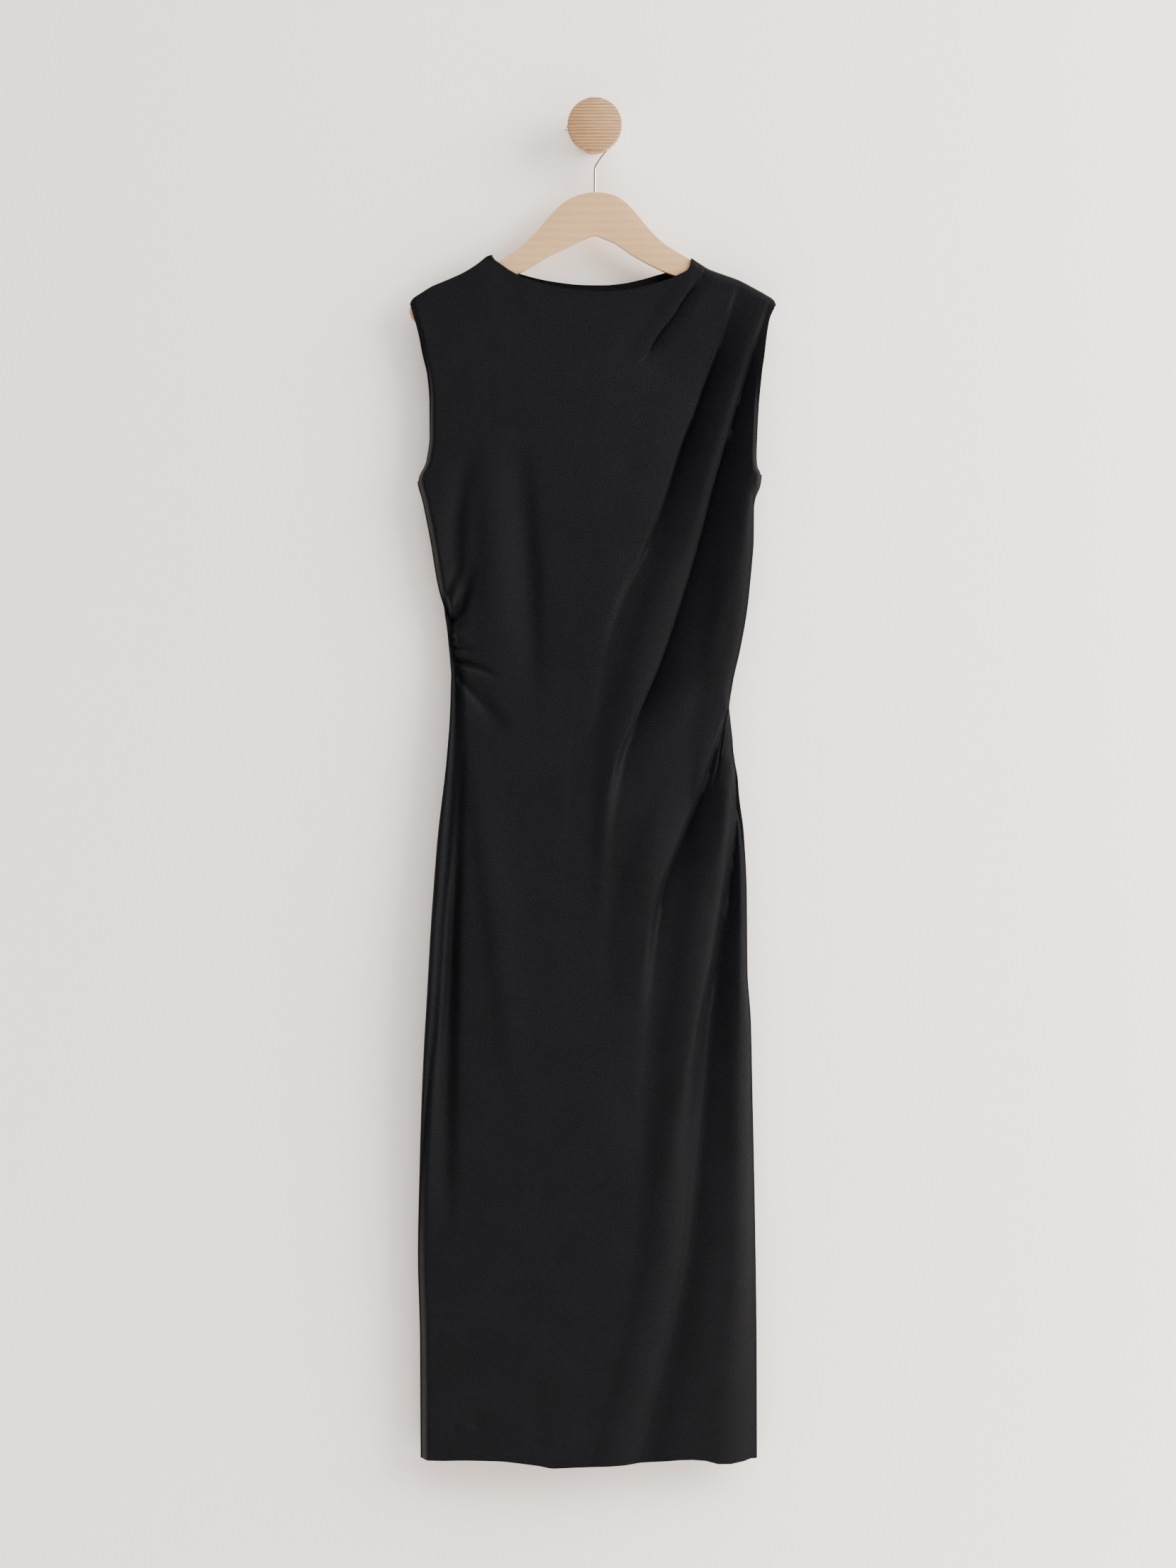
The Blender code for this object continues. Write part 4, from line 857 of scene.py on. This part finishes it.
def seam_angles(down, strip, side):
    """Direction through the wall at a side seam, turned where the back wraps forward."""
    turn = math.radians(90.0) * ease(*STRIP_TURNS, strip)
    if side > 0:
        tuck = ease(*TUCK_FROM, down) * (1 - ease(*TUCK_TO, down))
        return math.pi - turn + math.radians(TUCK_LEAN) * tuck
    return turn


def seam_shift(downs, angles, sign, underarm, side):
    """Half the seam's gap, square to the direction through the wall."""
    shift = np.zeros((len(downs), 3))
    sewn = downs >= underarm - SEWN_ROOM
    half = 0.5 * SEAM_GAP * sign
    shift[sewn, 0] = (half * side * np.sin(angles))[sewn]
    shift[sewn, 1] = (half * np.abs(np.cos(angles)))[sewn]
    return shift


def cloth_mesh(name, outer, inner, flat):
    """A closed wall between two grids of points, with the cloth's own place as its UV map."""
    rows, columns = outer.shape[:2]
    mesh = bpy.data.meshes.new(name)
    build = bmesh.new()
    out, inn = [[[build.verts.new(point * MM) for point in line] for line in grid]
                for grid in (outer, inner)]
    spots = {vert: spot * MM for grid in (out, inn) for line, spots_across in zip(grid, flat)
             for vert, spot in zip(line, spots_across)}
    for row in range(rows - 1):
        for column in range(columns - 1):
            for grid in (out, inn):
                build.faces.new((grid[row][column], grid[row + 1][column],
                                 grid[row + 1][column + 1], grid[row][column + 1]))
    rim = [(0, c) for c in range(columns)] + [(r, columns - 1) for r in range(1, rows)]
    rim += [(rows - 1, c) for c in range(columns - 2, -1, -1)]
    rim += [(r, 0) for r in range(rows - 2, 0, -1)]
    for here, there in zip(rim, rim[1:] + rim[:1]):
        build.faces.new((out[here[0]][here[1]], out[there[0]][there[1]],
                         inn[there[0]][there[1]], inn[here[0]][here[1]]))
    bmesh.ops.recalc_face_normals(build, faces=build.faces)
    layer = build.loops.layers.uv.new("cloth")
    for face in build.faces:
        for loop in face.loops:
            loop[layer].uv = spots[loop.vert]
    build.to_mesh(mesh)
    build.free()
    mesh.shade_smooth()
    mesh.set_sharp_from_angle(angle=CREASE)
    return mesh


def flat_places(outer):
    """Each point's place on the flat cloth: length across its row, and its own height."""
    across = np.linalg.norm(np.diff(outer, axis=1), axis=2).cumsum(axis=1)
    middle = across.shape[1] // 2
    flat = np.zeros(outer.shape[:2] + (2,))
    flat[:, 1:, 0] = across
    flat[:, :, 0] += (outer[:, middle + 1, 0] - across[:, middle])[:, None]
    flat[:, :, 1] = outer[:, :, 2]
    return flat


def make_panel(name, node, outer, face):
    """Builds one sheet from its outer points: "face" is 1 for the front and -1 for the back."""
    wall = bpy.context.scene.dress_sizes.wall / MM
    turns = []
    for column, strip, underarm, side in ((0, LEFT_STRIP, UNDERARM_LEFT, -1),
                                          (-1, RIGHT_STRIP, UNDERARM_RIGHT, 1)):
        downs = -outer[:, column, 2]
        angles = seam_angles(downs, follow(strip, downs), side)
        outer[:, column] += seam_shift(downs, angles, -face, underarm, side)
        turns.append((column, underarm, angles))
    inner = inner_points(outer, face, turns, wall)
    mesh = cloth_mesh("dress_" + name, outer, inner, flat_places(outer))
    crepe = bpy.data.materials.get("black crepe") or crepe_material()
    piece = add_piece("dress_" + name, mesh, crepe, "crepe", node)
    stitches = hem_stitches(name + "_hem_stitches", outer, inner)


def linear(code):
    """Linear red, green and blue of an sRGB hex colour."""
    parts = (int(code[spot:spot + 2], 16) / 255 for spot in (1, 3, 5))
    return tuple(part / 12.92 if part <= 0.04045 else ((part + 0.055) / 1.055) ** 2.4
                 for part in parts)


def add_node(tree, kind, settings=(), inputs=(), links=()):
    """Adds a node, with its settings, its sockets' values and the sockets that feed it."""
    node = tree.nodes.new(kind)
    for name, value in dict(settings).items():
        setattr(node, name, value)
    for name, value in dict(inputs).items():
        node.inputs[name].default_value = value
    for name, source in dict(links).items():
        tree.links.new(source, node.inputs[name])
    return node


def new_material(name, shader_inputs):
    """A material of one shader with these values, its node tree and the shader."""
    material = bpy.data.materials.new(name)
    material.use_nodes = True
    tree = material.node_tree
    tree.nodes.clear()
    shader = add_node(tree, "ShaderNodeBsdfPrincipled", inputs=shader_inputs)
    add_node(tree, "ShaderNodeOutputMaterial", links={"Surface": shader.outputs["BSDF"]})
    return material, tree, shader


def shade(tree, factor, stops):
    """A colour ramp with (place, hex colour) stops."""
    ramp = add_node(tree, "ShaderNodeValToRGB", links={"Fac": factor})
    elements = ramp.color_ramp.elements
    while len(elements) < len(stops):
        elements.new(0.5)
    for element, (place, code) in zip(elements, stops):
        element.position = place
        element.color = (*linear(code), 1.0)
    return ramp.outputs["Color"]


def darkened(tree, share, base, shadow):
    """The base colour multiplied by a share of the shadow colour."""
    mixed = add_node(tree, "ShaderNodeMix", {"data_type": "RGBA", "blend_type": "MULTIPLY"},
                     {"Factor": share})
    tree.links.new(base, mixed.inputs[6])
    tree.links.new(shadow, mixed.inputs[7])
    return mixed.outputs[2]


def finish_shader(tree, shader, colour, height, strength, distance):
    """Feeds a shader its colour, and humps of this strength and height in metres."""
    tree.links.new(colour, shader.inputs["Base Color"])
    bump = add_node(tree, "ShaderNodeBump", inputs={"Strength": strength, "Distance": distance},
                    links={"Height": height})
    tree.links.new(bump.outputs["Normal"], shader.inputs["Normal"])


def crepe_material():
    """Black crepe of hard twisted yarn: a matt, pebbled face whose tiny humps catch light, with
    painted glints on their tops.
    """
    looks = bpy.context.scene.dress_looks
    material, tree, shader = new_material("black crepe", {
        "Roughness": 0.56, "Specular IOR Level": looks.crepe_gloss,
        "Sheen Weight": looks.crepe_sheen, "Sheen Roughness": 0.35,
        "Sheen Tint": (*linear("#b9bac4"), 1.0)})
    place = add_node(tree, "ShaderNodeUVMap", {"uv_map": "cloth"}).outputs["UV"]
    # Real crepe's humps are 0.4 mm apart. They are drawn coarser, so that they show.
    grain = add_node(tree, "ShaderNodeTexNoise", {"noise_dimensions": "2D"},
                     {"Scale": 1 / looks.crepe_grain, "Detail": 2.0, "Roughness": 0.6},
                     {"Vector": place})
    cloud = add_node(tree, "ShaderNodeTexNoise", {"noise_dimensions": "2D"},
                     {"Scale": 22.0, "Detail": 2.0}, {"Vector": place})
    # Painted glints: the tops of the humps are painted lighter in the colour, standing in for the
    # light they catch. The bump gives their real relief.
    painted_hump_glint = shade(tree, grain.outputs["Fac"],
                  [(0.34, "#040406"), (0.5, "#07070a"), (0.68, "#0f0f13")])
    patch = shade(tree, cloud.outputs["Fac"], [(0.3, "#b4b4b4"), (0.7, "#ffffff")])
    finish_shader(tree, shader, darkened(tree, 0.35, painted_hump_glint, patch), grain.outputs["Fac"], 0.8,
                  0.0006)
    return material


def thread_material():
    """Spun thread, twisted from two strands, with fine slanted glints painted into its colour
    along the twist.
    """
    material, tree, shader = new_material("black thread", {
        "Roughness": 0.5, "Specular IOR Level": 0.3})
    place = add_node(tree, "ShaderNodeTexCoord").outputs["Object"]
    twist = add_node(tree, "ShaderNodeTexWave", {"bands_direction": "DIAGONAL"},
                     {"Scale": 500.0}, {"Vector": place})
    # Painted glints: diagonal bands along the twist are painted lighter in the colour. The bump
    # gives the twist's real relief.
    painted_twist_glint = shade(tree, twist.outputs["Fac"], [(0.2, "#08080a"), (0.9, "#17171b")])
    finish_shader(tree, shader, painted_twist_glint, twist.outputs["Fac"], 0.5, 0.0001)
    return material


def wood_material(name, light, mid, dark, ring_gap, fleck_share, roughness):
    """Sawn and lacquered wood with growth rings that run across the piece."""
    material, tree, shader = new_material(name, {"Roughness": roughness,
                                                 "Specular IOR Level": 0.4})
    place = add_node(tree, "ShaderNodeTexCoord").outputs["Object"]
    drawn = add_node(tree, "ShaderNodeMapping", inputs={"Scale": (0.06, 1.0, 1.0)},
                     links={"Vector": place})
    rings = add_node(tree, "ShaderNodeTexWave", {"bands_direction": "Z"},
                     {"Scale": WAVE_SCALE / ring_gap, "Distortion": 3.0, "Detail": 2.0,
                      "Detail Scale": 1.5}, {"Vector": drawn.outputs["Vector"]})
    pores = add_node(tree, "ShaderNodeTexNoise",
                     inputs={"Scale": 900.0, "Detail": 3.0, "Roughness": 0.7},
                     links={"Vector": drawn.outputs["Vector"]})
    base = shade(tree, rings.outputs["Fac"], [(0.0, dark), (0.45, mid), (1.0, light)])
    fleck = shade(tree, pores.outputs["Fac"], [(0.36, "#c9bba8"), (0.56, "#ffffff")])
    finish_shader(tree, shader, darkened(tree, fleck_share, base, fleck), pores.outputs["Fac"],
                  0.25, 0.0003)
    return material


def steel_material():
    """Plated steel wire, drawn round and polished, which mirrors the room in thin streaks."""
    return new_material("plated steel wire", {
        "Base Color": (*linear("#d9d9d7"), 1.0), "Metallic": 1.0, "Roughness": 0.22})[0]


def finish_piece(piece, material, slot, *nodes):
    """Gives a piece its material, the CAD nodes it stands for and its place on the body."""
    piece.data.materials.clear()
    piece.data.materials.append(material)
    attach(piece, "root")
    if nodes:
        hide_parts(*nodes)


def add_piece(name, mesh, material, slot, *nodes):
    """Links a new piece and finishes it."""
    piece = bpy.data.objects.new(name, mesh)
    bpy.context.scene.collection.objects.link(piece)
    finish_piece(piece, material, slot, *nodes)
    return piece


class DressSizes(bpy.types.PropertyGroup):
    wall: bpy.props.FloatProperty(
        name="Cloth thickness", description="Thickness of one layer of crepe",
        default=0.0009, min=0.0004, max=0.0015, precision=4, unit="LENGTH",
        subtype="DISTANCE")


class DressLooks(bpy.types.PropertyGroup):
    crepe_grain: bpy.props.FloatProperty(
        name="Crepe grain", description="Distance between the crepe's humps",
        default=0.0015, min=0.0002, max=0.01, precision=4, unit="LENGTH",
        subtype="DISTANCE")
    crepe_gloss: bpy.props.FloatProperty(
        name="Crepe gloss", description="How strongly the crepe's humps shine",
        default=0.072, min=0.0, max=1.0, subtype="FACTOR")
    crepe_sheen: bpy.props.FloatProperty(
        name="Crepe sheen", description="Soft light on the crepe where it turns away",
        default=0.03, min=0.0, max=1.0, subtype="FACTOR")
    window_power: bpy.props.FloatProperty(
        name="Window light", description="Strength of the soft light from the viewer's right",
        default=9.6, min=0.0, soft_max=20.0)
    window_angle: bpy.props.FloatProperty(
        name="Window angle", description="How far round to the right the window light stands",
        default=math.radians(60), min=0.0, max=math.radians(85), subtype="ANGLE")
    room_light: bpy.props.FloatProperty(
        name="Room light", description="Strength of the even light from all round",
        default=0.28, min=0.0, soft_max=3.0)


class DRESS_OT_front(bpy.types.Operator):
    """Makes the front: pleated at one shoulder, gathered at the other side of the waist"""
    bl_idname = "dress.front"
    bl_label = "Front"

    def execute(self, context):
        make_panel("front", "front_panel", front_points(), 1)
        return {"FINISHED"}


class DRESS_OT_back(bpy.types.Operator):
    """Makes the back: plain, and wrapped forward at both sides below the waist"""
    bl_idname = "dress.back"
    bl_label = "Back"

    def execute(self, context):
        make_panel("back", "back_panel", back_points(), -1)
        return {"FINISHED"}


def edit(name):
    """Names a new object and starts edit mode on it."""
    piece = bpy.context.active_object
    piece.name = piece.data.name = name
    bpy.ops.object.mode_set(mode="EDIT")
    return piece


def still():
    """Moves the chosen object's place into its mesh."""
    bpy.ops.object.transform_apply(location=True, rotation=True, scale=True)


class DRESS_OT_peg(bpy.types.Operator):
    """Turns the oak peg: a round disc on a waisted neck"""
    bl_idname = "dress.peg"
    bl_label = "Wall peg"

    def execute(self, context):
        bpy.ops.object.select_all(action="DESELECT")
        radius = PEG_PROFILE[0][1]
        bpy.ops.mesh.primitive_circle_add(vertices=96, radius=radius * MM,
                                          fill_type="NGON", location=(0, 0, 0),
                                          rotation=(math.radians(90), 0, 0))
        piece = edit("peg_turned")
        bpy.ops.mesh.select_all(action="SELECT")
        for (before, _), (off, wide) in zip(PEG_PROFILE, PEG_PROFILE[1:]):
            bpy.ops.mesh.extrude_region_move(
                TRANSFORM_OT_translate={"value": (0, -(off - before) * MM, 0)})
            scale = wide / radius
            bpy.ops.transform.resize(value=(scale, 1, scale), center_override=(0, 0, 0))
            radius = wide
        bpy.ops.mesh.select_all(action="SELECT")
        bpy.ops.mesh.normals_make_consistent(inside=False)
        bpy.ops.object.mode_set(mode="OBJECT")
        still()
        bpy.ops.object.shade_smooth_by_angle(angle=WOOD_CREASE)
        oak = wood_material("oiled oak", "#a9845f", "#9d7852", "#80603d", 0.0034, 0.6, 0.55)
        finish_piece(piece, oak, "peg_wood", "wall_peg")
        return {"FINISHED"}


def arm_line(across):
    """Drop of the hanger's top and lower edge at each place across."""
    rows = [(-reach, top, low) for reach, top, low in ARM_LEFT[:0:-1]] + ARM_RIGHT
    return (follow([(row[0], row[1]) for row in rows], across),
            follow([(row[0], row[2]) for row in rows], across))


class DRESS_OT_hanger(bpy.types.Operator):
    """Shapes the flat beech hanger from a strip of faces, then eases its edges"""
    bl_idname = "dress.hanger"
    bl_label = "Hanger"

    def execute(self, context):
        bpy.ops.object.select_all(action="DESELECT")
        bpy.ops.mesh.primitive_grid_add(x_subdivisions=96, y_subdivisions=1, size=2.0,
                                        rotation=(math.radians(90), 0, 0))
        still()
        piece = context.active_object
        piece.name = piece.data.name = "hanger_body"
        left, right = ARM_ENDS
        front = -(HANG_OFF + HANGER_THICK / 2)
        for vert in piece.data.vertices:
            share = 0.5 * (vert.co.x + 1)
            across = left + (right - left) * (0.5 - 0.5 * math.cos(math.pi * share))
            top, low = arm_line(across)
            level, half = 0.5 * (top + low), 0.5 * (low - top)
            tip = max(abs(across - left) if across < 0 else abs(right - across), 0.0)
            half *= math.sqrt(max(1 - (1 - min(tip / HANGER_TIP, 1.0)) ** 2, TIP_LEAST))
            side = 1 if vert.co.z > 0 else -1
            vert.co = (across * MM, front * MM, (-level + side * half) * MM)
        bpy.ops.object.mode_set(mode="EDIT")
        bpy.ops.mesh.select_all(action="SELECT")
        bpy.ops.mesh.extrude_region_move(
            TRANSFORM_OT_translate={"value": (0, HANGER_THICK * MM, 0)})
        bpy.ops.mesh.select_all(action="SELECT")
        bpy.ops.mesh.normals_make_consistent(inside=False)
        bpy.ops.object.mode_set(mode="OBJECT")
        bevel = piece.modifiers.new("eased edge", "BEVEL")
        bevel.width = HANGER_EDGE * MM
        bevel.segments = 4
        bevel.limit_method = "ANGLE"
        bevel.angle_limit = EASED_FROM
        bpy.ops.object.modifier_apply(modifier=bevel.name)
        bpy.ops.object.shade_smooth_by_angle(angle=WOOD_CREASE)
        beech = wood_material("lacquered beech", "#b9966f", "#b7936c", "#b38f68", 0.009,
                              0.22, 0.42)
        finish_piece(piece, beech, "hanger_wood", "hanger")
        return {"FINISHED"}


def hook_route():
    """The wire's centre line, from its seat in the hanger to its ball tip."""
    centre_x, centre_down = HOOK_CENTRE
    route = [(0.0, ARM_RIGHT[0][1] + WIRE_SUNK)] + HOOK_STEM
    for degrees in HOOK_BEND:
        angle = math.radians(degrees)
        route.append((centre_x + HOOK_RADIUS * math.cos(angle),
                      centre_down - HOOK_RADIUS * math.sin(angle)))
    return route + [HOOK_END, HOOK_TIP]


class DRESS_OT_hook(bpy.types.Operator):
    """Bends the hook's wire round the peg and gives it a ball tip"""
    bl_idname = "dress.hook"
    bl_label = "Hook"

    def execute(self, context):
        bpy.ops.object.select_all(action="DESELECT")
        curve = bpy.data.curves.new("hook_wire", "CURVE")
        curve.dimensions = "3D"
        curve.bevel_depth = WIRE_RADIUS * MM
        curve.bevel_resolution = 6
        curve.resolution_u = 8
        curve.use_fill_caps = True
        spline = curve.splines.new("NURBS")
        route = hook_route()
        spline.points.add(len(route) - 1)
        for point, (across, down) in zip(spline.points, route):
            point.co = (across * MM, -HANG_OFF * MM, -down * MM, 1.0)
        spline.use_endpoint_u = True
        spline.order_u = 4
        wire = bpy.data.objects.new("hook_wire", curve)
        context.scene.collection.objects.link(wire)
        wire.select_set(True)
        context.view_layer.objects.active = wire
        bpy.ops.object.convert(target="MESH")
        bpy.ops.object.select_all(action="DESELECT")
        bpy.ops.mesh.primitive_uv_sphere_add(
            segments=24, ring_count=14, radius=BALL_RADIUS * MM,
            location=(HOOK_TIP[0] * MM, -HANG_OFF * MM, -(HOOK_TIP[1] + BALL_BELOW) * MM))
        still()
        wire.select_set(True)
        context.view_layer.objects.active = wire
        bpy.ops.object.join()
        bpy.ops.object.shade_smooth_by_angle(angle=HOOK_CREASE)
        finish_piece(wire, steel_material(), "hook_wire", "hanger_hook")
        return {"FINISHED"}


def stage_plane(name, corners, code):
    """A flat part of the stage, with its node tree and shader."""
    mesh = bpy.data.meshes.new(name)
    mesh.from_pydata(corners, [], [(0, 1, 2, 3)])
    material, tree, shader = new_material(name, {"Base Color": (*linear(code), 1.0),
                                                 "Roughness": 0.9,
                                                 "Specular IOR Level": 0.1})
    mesh.materials.append(material)
    plane = bpy.data.objects.new(name, mesh)
    bpy.context.scene.collection.objects.link(plane)
    return plane, tree, shader


def soft_light(name, place, target, width, height, power, code):
    """A rectangle of soft light, aimed at a target."""
    light = bpy.data.lights.new(name, "AREA")
    light.shape = "RECTANGLE"
    light.size = width
    light.size_y = height
    light.energy = power
    light.color = linear(code)
    lamp = bpy.data.objects.new(name, light)
    lamp.location = place
    aim = Vector(target) - Vector(place)
    lamp.rotation_euler = aim.to_track_quat("-Z", "Y").to_euler()
    bpy.context.scene.collection.objects.link(lamp)
    return lamp


def sky_light(name, angle, height, spread, power):
    """Even light from far off, at an angle from straight ahead, as wide as its spread."""
    light = bpy.data.lights.new(name, "SUN")
    light.angle = spread
    light.energy = power
    lamp = bpy.data.objects.new(name, light)
    toward = Vector((math.sin(angle), -math.cos(angle), height))
    lamp.rotation_euler = toward.to_track_quat("Z", "Y").to_euler()
    bpy.context.scene.collection.objects.link(lamp)
    return lamp


class DRESS_OT_stage(bpy.types.Operator):
    """Sets the pale floor and wall, the soft light and the camera"""
    bl_idname = "dress.stage"
    bl_label = "Stage"

    def execute(self, context):
        looks = context.scene.dress_looks
        near, far = ROOM_DEEP
        stage_plane("floor", [(-ROOM_WIDE, near, FLOOR), (ROOM_WIDE, near, FLOOR),
                              (ROOM_WIDE, far, FLOOR), (-ROOM_WIDE, far, FLOOR)], "#dcd8d3")
        wall, tree, shader = stage_plane(
            "backdrop", [(-WALL_WIDE, WALL_BEHIND, FLOOR), (WALL_WIDE, WALL_BEHIND, FLOOR),
                         (WALL_WIDE, WALL_BEHIND, WALL_TOP),
                         (-WALL_WIDE, WALL_BEHIND, WALL_TOP)], "#faf3ef")
        # The wall is painted plaster. Its colour is made a little brighter towards the window and
        # the ceiling: painted light, standing in for their light falling off across the wall.
        place = add_node(tree, "ShaderNodeTexCoord").outputs["Object"]
        turned = add_node(tree, "ShaderNodeMapping", inputs={
            "Location": (0.5, 0.0, 0.0), "Scale": (0.7, 1.0, 1.0),
            "Rotation": (0.0, math.radians(12), 0.0)}, links={"Vector": place})
        spread = add_node(tree, "ShaderNodeTexGradient",
                          links={"Vector": turned.outputs["Vector"]})
        # Painted light: this ramp sets the wall's colour, lighter towards the window, darker away
        # from it.
        tree.links.new(shade(tree, spread.outputs["Fac"], [(0.1, "#f1e8e3"), (0.9, "#fffbf7")]),
                       shader.inputs["Base Color"])
        # The wall shows from its front alone and lets light through, so that the dress's back
        # can be seen and is lit.
        wall.visible_shadow = False
        side = add_node(tree, "ShaderNodeNewGeometry").outputs["Backfacing"]
        clear = add_node(tree, "ShaderNodeBsdfTransparent")
        both = add_node(tree, "ShaderNodeMixShader", links={
            0: side, 1: shader.outputs["BSDF"], 2: clear.outputs["BSDF"]})
        output = next(node for node in tree.nodes if node.type == "OUTPUT_MATERIAL")
        tree.links.new(both.outputs["Shader"], output.inputs["Surface"])
        toward = Vector((math.sin(looks.window_angle), -math.cos(looks.window_angle),
                         WINDOW_HEIGHT))
        soft_light("window", Vector(MIDDLE) + WINDOW_AWAY * toward, MIDDLE, WINDOW_WIDE,
                   WINDOW_TALL, looks.window_power * math.pi * WINDOW_AWAY ** 2, "#fffdf9")
        sky_light("ceiling", CEILING_ANGLE, CEILING_HEIGHT, CEILING_SPREAD,
                  looks.window_power * CEILING_SHARE)
        soft_light("back", BACK_PLACE, MIDDLE, BACK_WIDE, BACK_TALL, BACK_POWER, "#fffaf4")
        world = bpy.data.worlds.new("room")
        world.use_nodes = True
        background = world.node_tree.nodes["Background"]
        background.inputs["Color"].default_value = (*linear("#efedea"), 1.0)
        background.inputs["Strength"].default_value = looks.room_light
        context.scene.world = world
        view = bpy.data.cameras.new("camera")
        view.lens = CAMERA_LENS
        view.sensor_width = CAMERA_SENSOR
        view.clip_end = CAMERA_FAR
        camera = bpy.data.objects.new("camera", view)
        camera.location = CAMERA_PLACE
        camera.rotation_euler = (math.radians(90), 0, 0)
        context.scene.collection.objects.link(camera)
        context.scene.camera = camera
        return {"FINISHED"}


class DRESS_PT_panel(bpy.types.Panel):
    """Lists the dress's pieces and the values that shape them"""
    bl_idname = "DRESS_PT_panel"
    bl_label = "Ruched midi dress"
    bl_space_type = "VIEW_3D"
    bl_region_type = "UI"
    bl_category = "Dress"

    def draw(self, context):
        for group in (context.scene.dress_sizes, context.scene.dress_looks):
            column = self.layout.column()
            for name in group.__annotations__:
                column.prop(group, name)
        for operator in OPERATORS:
            self.layout.operator(operator.bl_idname)


OPERATORS = (DRESS_OT_hanger, DRESS_OT_hook, DRESS_OT_peg, DRESS_OT_back, DRESS_OT_front,
             DRESS_OT_stage)
CLASSES = (DressSizes, DressLooks, *OPERATORS, DRESS_PT_panel)


def register():
    for item in CLASSES:
        bpy.utils.register_class(item)
    bpy.types.Scene.dress_sizes = bpy.props.PointerProperty(type=DressSizes)
    bpy.types.Scene.dress_looks = bpy.props.PointerProperty(type=DressLooks)


def unregister():
    del bpy.types.Scene.dress_looks
    del bpy.types.Scene.dress_sizes
    for item in reversed(CLASSES):
        bpy.utils.unregister_class(item)


def main():
    register()
    bpy.ops.dress.hanger()
    bpy.ops.dress.hook()
    bpy.ops.dress.peg()
    bpy.ops.dress.back()
    bpy.ops.dress.front()
    bpy.ops.dress.stage()


if __name__ == "__main__":
    main()
